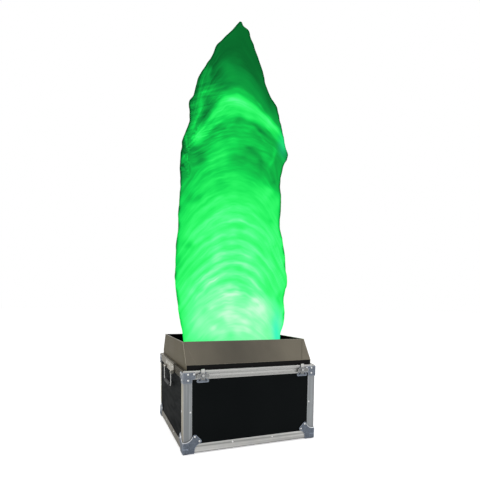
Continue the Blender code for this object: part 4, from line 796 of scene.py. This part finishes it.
# Its colour by its light
SILK_COLOURS = (
    (0.0, (0.0012, 0.075, 0.016)), (0.1, (0.0027, 0.127, 0.023)), (0.2, (0.0035, 0.262, 0.042)),
    (0.3, (0.0052, 0.376, 0.053)), (0.4, (0.006, 0.515, 0.067)), (0.5, (0.0072, 0.68, 0.085)),
    (0.6, (0.016, 0.84, 0.11)), (0.68, (0.03, 0.94, 0.142)), (0.76, (0.055, 0.975, 0.2)),
    (0.84, (0.11, 0.99, 0.3)), (0.92, (0.26, 0.985, 0.45)), (1.0, (0.578, 1.0, 0.68)))
# Levels of that light sag to both sides, and higher up, above the bar, they turn into arches
SAG = 0.05
SAG_TURN = (0.72, 0.95)
SAG_MOST = 0.12
SIDE_SHADE = 0.17               # how much darker the sides are
TIP_SHADE = 0.72                # how much calmer the tip is, above these arches
TIP_ARCHES = (1.36, 1.41)
EDGE_W = 0.0045                 # half widths of the dark edges, and of the frayed strokes along them
FRAYED_W = 0.008
# Brighter and darker patches: x, height above the floor, half width, half height, strength
GLOW_PATCHES = (
    (-0.004, 0.547, 0.045, 0.012, 0.06), (0.118, 0.523, 0.026, 0.014, 0.07),
    (0.145, 0.49, 0.018, 0.018, 0.07), (-0.084, 0.49, 0.022, 0.014, 0.06), (0.09, 0.483, 0.026, 0.01, 0.05),
    (-0.026, 0.456, 0.03, 0.018, 0.05), (0.034, 0.452, 0.024, 0.012, 0.04),
    (0.076, 0.43, 0.024, 0.018, 0.06), (-0.075, 0.405, 0.02, 0.018, 0.05),
    (0.077, 0.395, 0.016, 0.016, 0.04), (-0.205, 0.43, 0.03, 0.1, -0.1), (0.234, 0.53, 0.014, 0.035, -0.14),
    (0.171, 0.59, 0.03, 0.06, -0.09), (-0.08, 1.07, 0.05, 0.08, 0.12), (-0.13, 1.076, 0.026, 0.045, -0.14),
    (-0.198, 1.1, 0.016, 0.06, -0.18), (0.11, 1.06, 0.035, 0.04, -0.08), (0.185, 1.06, 0.04, 0.1, -0.12),
    (-0.15, 1.15, 0.04, 0.05, 0.08), (-0.168, 1.256, 0.016, 0.05, -0.08),
    (-0.024, 1.437, 0.026, 0.025, 0.06), (0.02, 1.315, 0.04, 0.03, 0.05), (0.17, 1.238, 0.026, 0.022, 0.08),
    (0.195, 1.2, 0.016, 0.04, 0.08), (-0.095, 1.365, 0.028, 0.03, 0.1), (-0.12, 1.39, 0.02, 0.04, 0.06),
    (-0.08, 1.325, 0.035, 0.03, 0.12), (0.01, 1.33, 0.045, 0.03, 0.06), (0.126, 1.211, 0.045, 0.02, -0.1),
    (0.204, 1.208, 0.023, 0.024, -0.14), (0.001, 1.151, 0.034, 0.027, 0.11),
    (-0.141, 1.109, 0.024, 0.015, 0.15), (-0.09, 1.147, 0.024, 0.015, -0.07),
    (0.062, 1.102, 0.035, 0.023, -0.12), (0.14, 0.957, 0.032, 0.032, 0.11),
    (0.191, 0.926, 0.023, 0.029, 0.12), (0.17, 1.278, 0.018, 0.02, 0.12), (0.067, 1.328, 0.022, 0.015, 0.1),
    (-0.114, 1.273, 0.024, 0.029, 0.07), (-0.107, 1.33, 0.024, 0.022, 0.04),
    (-0.164, 0.766, 0.024, 0.023, 0.07), (-0.185, 0.74, 0.026, 0.022, -0.09),
    (-0.222, 0.655, 0.012, 0.055, -0.12), (-0.185, 0.915, 0.03, 0.024, -0.08))
# A cooler colour, where it lies beside the foot and at one edge, by the same measures, and its share
COOL = (0.035, 0.93, 0.52)
COOL_FOOT = (0.216, 0.375, 0.022, 0.090)
COOL_SHARE = 0.95
COOL_EDGE = (0.225, 1.17, 0.020, 0.05)
COOL_EDGE_SHARE = 0.25
# Folds as lines on the silk: strength, half width, and points of x and height above the floor
FOLDS = (
    (0.13, 0.009, ((-0.08, 1.432), (-0.1, 1.4), (-0.106, 1.37))),
    (0.2, 0.01, ((-0.093, 1.35), (-0.118, 1.32), (-0.129, 1.278), (-0.139, 1.233), (-0.152, 1.202),
        (-0.168, 1.155))),
    (-0.15, 0.015, ((-0.078, 1.31), (-0.1, 1.257), (-0.124, 1.224), (-0.141, 1.185))),
    (0.09, 0.007, ((-0.03, 1.196), (0.006, 1.219), (0.052, 1.231), (0.095, 1.222), (0.129, 1.198),
        (0.149, 1.167))),
    (-0.1, 0.009, ((0.006, 1.236), (0.05, 1.244), (0.09, 1.24), (0.14, 1.212))),
    (-0.17, 0.015, ((0.035, 1.128), (0.073, 1.121), (0.107, 1.105), (0.126, 1.077), (0.132, 1.048))),
    (0.12, 0.008, ((0.174, 1.171), (0.184, 1.147), (0.165, 1.095), (0.156, 1.055))),
    (0.1, 0.028, ((-0.029, 1.159), (-0.038, 1.108), (-0.046, 1.061), (-0.064, 1.021))),
    (0.14, 0.006, ((-0.202, 1.078), (-0.198, 1.051), (-0.185, 1.033))),
    (-0.13, 0.014, ((-0.189, 0.869), (-0.168, 0.896), (-0.142, 0.92), (-0.116, 0.939))),
    (-0.12, 0.012, ((-0.193, 0.713), (-0.168, 0.731), (-0.142, 0.746))),
    (-0.24, 0.017, ((0.17, 1.025), (0.19, 0.99))),
    (-0.13, 0.013, ((0.15, 0.872), (0.165, 0.848), (0.19, 0.832))),
    (-0.09, 0.008, ((0.182, 0.76), (0.208, 0.743))),
    (0.13, 0.015, ((0.13, 1.0), (0.15, 0.971), (0.163, 0.941))),
    (0.16, 0.01, ((-0.173, 1.108), (-0.143, 1.146), (-0.11, 1.178), (-0.072, 1.207))),
    (0.1, 0.006, ((-0.164, 1.09), (-0.135, 1.128), (-0.095, 1.162))))


def edge_at(edge, share):
    """The share of its reach that an edge of the flame has at a share of the height."""
    for i in range(len(edge) - 1):
        if share <= edge[i + 1][0]:
            break
    low, a = edge[i]
    high, b = edge[i + 1]
    before_at, before = edge[max(i - 1, 0)]
    after_at, after = edge[min(i + 2, len(edge) - 1)]
    step = high - low
    t = (share - low) / step
    rise_a = (b - before) / (high - before_at) * step
    rise_b = (after - a) / (after_at - low) * step
    return ((2 * t ** 3 - 3 * t ** 2 + 1) * a + (t ** 3 - 2 * t ** 2 + t) * rise_a
            + (3 * t ** 2 - 2 * t ** 3) * b + (t ** 3 - t ** 2) * rise_b)


def drift(u, v, seed):
    """Smooth value noise between -1 and 1 over two arrays, with cells of one unit."""
    table = np.random.default_rng(seed).uniform(-1, 1, (128, 128))
    iu, iv = np.floor(u).astype(int), np.floor(v).astype(int)
    fu, fv = u - iu, v - iv
    su, sv = fu * fu * (3 - 2 * fu), fv * fv * (3 - 2 * fv)
    low = table[iu % 128, iv % 128] * (1 - su) + table[(iu + 1) % 128, iv % 128] * su
    high = table[iu % 128, (iv + 1) % 128] * (1 - su) + table[(iu + 1) % 128, (iv + 1) % 128] * su
    return low * (1 - sv) + high * sv


def layered(u, v, layers):
    """Layers of drift, summed."""
    return sum(strength * drift(u * across, v * upward, seed) for strength, across, upward, seed in layers)


def patch(x, height, at_x, at_z, wide, tall):
    """A soft oval patch, 1 at its middle."""
    return np.exp(-((x - at_x) / wide) ** 2 - ((height - at_z) / tall) ** 2)


def through(value, stops):
    """A value read off a line through (place, value) stops."""
    places, values = zip(*stops)
    return np.interp(value, places, values)


def fallen(aside, drop, reach, power):
    """How far a line has fallen at a distance beside its crown."""
    return drop * (aside / reach) ** power


def fade(value, low, high):
    """A smooth step from 0 to 1 between two values."""
    t = np.clip((value - low) / (high - low), 0, 1)
    return t * t * (3 - 2 * t)


def band_share(x, height):
    """The share of the way across the bright band: 0 at its lower edge, 1 at its upper."""
    left = np.clip(BAND_CROWN_X - x, 0, None)
    right = np.clip(x - BAND_CROWN_X, 0, None)
    bend = np.hypot(left, BAND_LOW_BEND) - BAND_LOW_BEND
    low = BAND_LOW - bend * BAND_LOW_SLOPE - fallen(right, *BAND_LOW_RIGHT)
    high = BAND_HIGH - fallen(left, *BAND_HIGH_LEFT) - fallen(right, *BAND_HIGH_RIGHT)
    return (height - low) / (high - low)


def arches(x, height):
    """The height at the crown of the wrinkle that a place lies on."""
    left = np.clip(CROWN_X - x, 0, None)
    right = np.clip(x - CROWN_X, 0, None)
    plain = height + fallen(left, *ARCH_LEFT) + fallen(right, *ARCH_RIGHT)
    banded = BAND_LOW + band_share(x, height) * (BAND_HIGH - BAND_LOW)
    high = fade(height, *BANDED)
    return (1 - high) * plain + high * banded


def along_fold(x, height, points, width):
    """1 on a fold's line, fading to 0 over its half width and towards its ends."""
    nearest = np.full(x.shape, 9.0)
    for (ax, az), (bx, bz) in zip(points, points[1:]):
        run_x, run_z = bx - ax, bz - az
        share = np.clip(((x - ax) * run_x + (height - az) * run_z) / (run_x ** 2 + run_z ** 2), 0, 1)
        nearest = np.minimum(nearest, np.hypot(x - ax - share * run_x, height - az - share * run_z))
    ends = [np.hypot(x - px, height - pz) for px, pz in (points[0], points[-1])]
    return np.exp(-((nearest / width) ** 2)) * fade(np.minimum(*ends), 0, 3 * width)


def silk_outline():
    """Shares of the height, and the left and right edge at each, a little ragged."""
    share = np.linspace(0, 1, SILK_ROWS + 1)
    flat = 0 * share
    rag = np.clip(share / 0.2, 0, 1)
    left = np.array([-SILK_LEFT * edge_at(SILK_LEFT_EDGE, s) for s in share])
    right = np.array([SILK_RIGHT * edge_at(SILK_RIGHT_EDGE, s) for s in share])
    left = left + rag * layered(share, flat, RAGGED_LEFT)
    right = right + rag * layered(share, flat, RAGGED_RIGHT)
    right[-1] = max(right[-1], left[-1] + SILK_TIP_W)
    return share, left, right


def wandering(x, height):
    """Places that wander a little, as creases in cloth do."""
    return x + 0.007 * drift(x * 30, height * 30, 31), height + 0.004 * drift(x * 30, height * 45, 32)


def wrinkles(x, up, height):
    """The arched wrinkles, and the finer wisps beside them."""
    arch = arches(x, height)
    patchy = 0.25 + 0.25 * drift(x * 10, up * 14, 13)
    for place in WRINKLED:
        patchy = patchy + 0.7 * patch(x, height, *place)
    phase = 2 * math.pi * (arch - WRINKLE_CREST) / WRINKLE_PITCH + layered(x, up, WARP)
    streaked = arch + 0.004 * drift(x * 45, height * 45, 25)
    return np.clip(patchy, 0, 1) * np.cos(phase), layered(x, streaked, WISPS)


def silk_light(x, up, near, rings, wisps, folded):
    """The light on the silk, from 0, dark green, to 1, nearly white."""
    height = SILK_BOX[0].z + up
    arch = arches(x, height)
    high = fade(height, *UPPER)
    wander_x, wander_z = wandering(x, height)

    # Levels of light by the height, sagging to the sides
    turn = fade(up, *SAG_TURN)
    away = np.abs(x - CROWN_X) / ARCH_REACH
    sag = (1 - turn) * SAG * away ** 2.1 + turn * (arch - height)
    glow = through(up + np.clip(sag, -SAG_MOST, SAG_MOST), GLOW_BY_HEIGHT)

    # The bright band, which breaks up in streaks on its left
    left = BAND_CROWN_X - x
    leftward = fade(left, *BAND_LEFT)
    rising = height + STREAK_SLOPE * np.hypot(np.clip(left, 0, None), STREAK_BEND)
    streaks = layered(x, rising, STREAKS)
    share = band_share(wander_x, wander_z + STREAK_WAVE * leftward * streaks)
    band = fade(share, -0.15, 0.12) * (1 - fade(share, 0.97, 1.10)) * (1 - 0.35 * leftward)
    band_glow = through(share, BAND_GLOW) - 0.05 * leftward
    glow = glow + band * (band_glow - glow)

    # Patches, folds and darker sides
    patches = 0 * x
    for *place, strength in GLOW_PATCHES:
        patches = patches + strength * patch(wander_x, wander_z, *place)
    aside = np.clip(np.abs(x - BAND_CROWN_X) / ARCH_REACH, 0, 1)
    glow = glow + patches + folded - SIDE_SHADE * aside ** 3 * (1 - fade(up, 0.9, 1.0))

    # Wrinkles and wisps, softer at the foot and calmer at the tip
    soft_foot = 0.35 + 0.65 * fade(up, 0.16, 0.36)
    dark_top = 1 - TIP_SHADE * fade(arch, *TIP_ARCHES) * (1 - 0.6 * leftward)
    glow = glow + soft_foot * dark_top * ((0.050 - 0.035 * high) * rings
                                          + (0.085 + 0.075 * leftward * high) * wisps)
    glow = glow + dark_top * layered(x, up, CLOUDS)
    shown = fade(left, *STREAKS_IN) * fade(height, *STREAKS_LOW) * (1 - fade(height, *STREAKS_HIGH))
    glow = glow + 0.085 * shown * streaks

    # Darker edges, frayed low down
    rim = np.exp(-((near / EDGE_W) ** 2))
    frayed = np.clip(0.35 + drift(up * 32, x * 4, 28), 0, 1) * fade(up, 0.12, 0.20) * (1 - high)
    strokes = frayed * np.exp(-((near / FRAYED_W) ** 2))
    glow = glow - rim * (0.10 + 0.22 * fade(up, 0.2, 0.8)) - 0.34 * strokes
    return np.clip(glow, 0.0, 1.0)


def silk_shape():
    """The silk's grid: x, depth, height and its light, as arrays."""
    share, left, right = silk_outline()
    across = np.linspace(0, 1, SILK_COLUMNS + 1)[None, :]
    x = left[:, None] + (right - left)[:, None] * across
    up = (share * SILK_H)[:, None] + 0 * x
    height = SILK_BOX[0].z + up
    near = np.minimum(x - left[:, None], right[:, None] - x)
    rings, wisps = wrinkles(x, up, height)
    wander_x, wander_z = wandering(x, height)
    folded = 0 * x
    for strength, width, points in FOLDS:
        folded = folded + strength * along_fold(wander_x, wander_z, points, width)

    calm = 1 - np.exp(-((up / SILK_STILL) ** 2))
    bowed = up + x * x / (2 * SILK_BOW_R) + SILK_SLANT * x
    folds = SILK_RIPPLE * np.sin(2 * math.pi * bowed / SILK_RIPPLE_PITCH)
    billow = SILK_BILLOW * np.sin(2 * math.pi * SILK_BILLOWS * up / SILK_H)
    flutter = SILK_FLUTTER * np.exp(-near / SILK_FLUTTER_IN) * drift(up * 14, x * 3, 16)
    high = fade(height, *UPPER)
    depth = calm * (folds + billow + flutter + WRINKLE_DEPTH * (rings * (1 - 0.5 * high) + 0.6 * wisps)
                    - FOLD_DEPTH * folded)
    return x, depth, height, silk_light(x, up, near, rings, wisps, folded)


def silk_material():
    """Thin silk lit from below: its glow is stored on the mesh, its weave is in the shader."""
    made, tree, shader = material("lit_silk", (0.001, 0.020, 0.004), 0.6)
    glow = add(tree, "Attribute", attribute_name="glow").outputs["Fac"]
    tint = add(tree, "Attribute", attribute_name="tint").outputs["Fac"]
    weave = noise(tree, 1500.0, (1, 1, 0.35), 2.0)
    lit = maths(tree, "ADD", glow, span(tree, weave, 0.3, 0.7, -0.012, 0.012))
    cool = mixed(tree, tint, ramp(tree, lit, SILK_COLOURS), COOL)
    give(tree, shader, {"Emission Color": cool, "Emission Strength": 1.0, "Specular IOR Level": 0.0})
    bump(tree, shader, weave, 0.00005, 0.5)
    return made


def silk():
    """One sheet of silk, blown up between the bar and its tip."""
    x, depth, height, glow = silk_shape()
    rows, columns = x.shape
    points = np.stack([x, depth, height], -1).reshape(-1, 3)
    index = np.arange(rows * columns).reshape(rows, columns)
    quads = np.stack([index[:-1, :-1], index[:-1, 1:], index[1:, 1:], index[1:, :-1]], -1).reshape(-1, 4)
    mesh = bpy.data.meshes.new("silk")
    mesh.from_pydata(points.tolist(), [], quads.tolist())
    tint = COOL_SHARE * patch(x, np.maximum(height, COOL_FOOT[1]), *COOL_FOOT)
    tint = tint + COOL_EDGE_SHARE * patch(x, height, *COOL_EDGE)
    for name, values in (("glow", glow), ("tint", tint)):
        layer = mesh.attributes.new(name, "FLOAT", "POINT")
        layer.data.foreach_set("value", values.astype(np.float32).ravel())
    mesh.shade_smooth()
    mesh.materials.append(silk_material())
    made = in_scene("silk", mesh)
    thick = made.modifiers.new("Thickness", "SOLIDIFY")
    thick.thickness = SILK_T
    thick.offset = 0
    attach(made, "case")
    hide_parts("silk_flame")


# Studio

FLOOR_REACH = 30.0
FLOOR_LIFT = 0.50               # light that only the camera sees on the floor
WORLD_LIGHT = 0.62              # the world's light on the object; the camera sees it at 1
# Soft lamps: name, place, width and power
LAMPS = (("key", (-1.9, -2.4, 2.6), 1.8, 40.0), ("fill", (2.2, -2.6, 1.6), 1.6, 14.0),
         ("top", (0.2, 0.6, 3.2), 1.6, 30.0))
LAMP_AIM = (0, 0, 0.4)


def studio_floor():
    """White floor that keeps the object's shadow."""
    look, tree, shader = material("studio_floor", grey(0.86), 0.9)
    seen = add(tree, "LightPath").outputs["Is Camera Ray"]
    tone = ramp(tree, noise(tree, 3.0, detail=2.0), ((0.3, grey(0.85)), (0.7, grey(0.88))))
    give(tree, shader, {"Base Color": tone, "Specular IOR Level": 0.0, "Emission Color": (1, 1, 1, 1),
                        "Emission Strength": maths(tree, "MULTIPLY", seen, FLOOR_LIFT)})
    mesh = bpy.data.meshes.new("floor")
    corners = [(u * FLOOR_REACH, v * FLOOR_REACH, 0) for u, v in ((-1, -1), (1, -1), (1, 1), (-1, 1))]
    mesh.from_pydata(corners, [], [(0, 1, 2, 3)])
    mesh.materials.append(look)
    in_scene("floor", mesh)


def studio_world():
    """White background, as the camera, gloss and glass see it, and a softer light from all around."""
    world = bpy.data.worlds.new("studio")
    bpy.context.scene.world = world
    world.use_nodes = True
    tree = world.node_tree
    rays = add(tree, "LightPath").outputs
    shown = rays["Is Camera Ray"]
    for ray in ("Is Glossy Ray", "Is Transmission Ray"):
        shown = maths(tree, "MAXIMUM", shown, rays[ray])
    light = span(tree, shown, 0.0, 1.0, WORLD_LIGHT, 1.0)
    give(tree, tree.nodes["Background"], {"Color": (1, 1, 1, 1), "Strength": light})


def studio_lamps():
    """Soft lamps, all turned to the object."""
    for name, place, width, power in LAMPS:
        data = bpy.data.lights.new(name, "AREA")
        data.size = width
        data.energy = power
        lamp = in_scene(name, data)
        lamp.location = place
        aim = Vector(LAMP_AIM) - Vector(place)
        lamp.rotation_euler = aim.to_track_quat("-Z", "Y").to_euler()


def camera():
    """The photograph's viewpoint."""
    ahead = Vector((math.sin(CAMERA_YAW) * math.cos(CAMERA_PITCH),
                    math.cos(CAMERA_YAW) * math.cos(CAMERA_PITCH), math.sin(CAMERA_PITCH)))
    right = Vector((math.cos(CAMERA_YAW), -math.sin(CAMERA_YAW), 0))
    up = right.cross(ahead)
    level = Matrix((right, up, -ahead)).transposed()
    turn = level @ Matrix.Rotation(CAMERA_ROLL, 3, "Z")
    data = bpy.data.cameras.new("camera")
    data.sensor_width = 36.0
    data.lens = CAMERA_LENS
    data.shift_y = CAMERA_SHIFT_Y
    made = in_scene("camera", data)
    made.matrix_world = Matrix.Translation(CAMERA_AT) @ turn.to_4x4()
    bpy.context.scene.camera = made
    bpy.context.scene.view_settings.view_transform = "Standard"


looks = make_looks()
dress_frame(looks)
case_rivets(looks)
latch_rivets(looks)
hinge_rivets(looks)
rolled_lips(looks)
hem_highlights(looks)
screws(looks)
fan_guards(looks)
silk()
studio_floor()
studio_world()
studio_lamps()
camera()
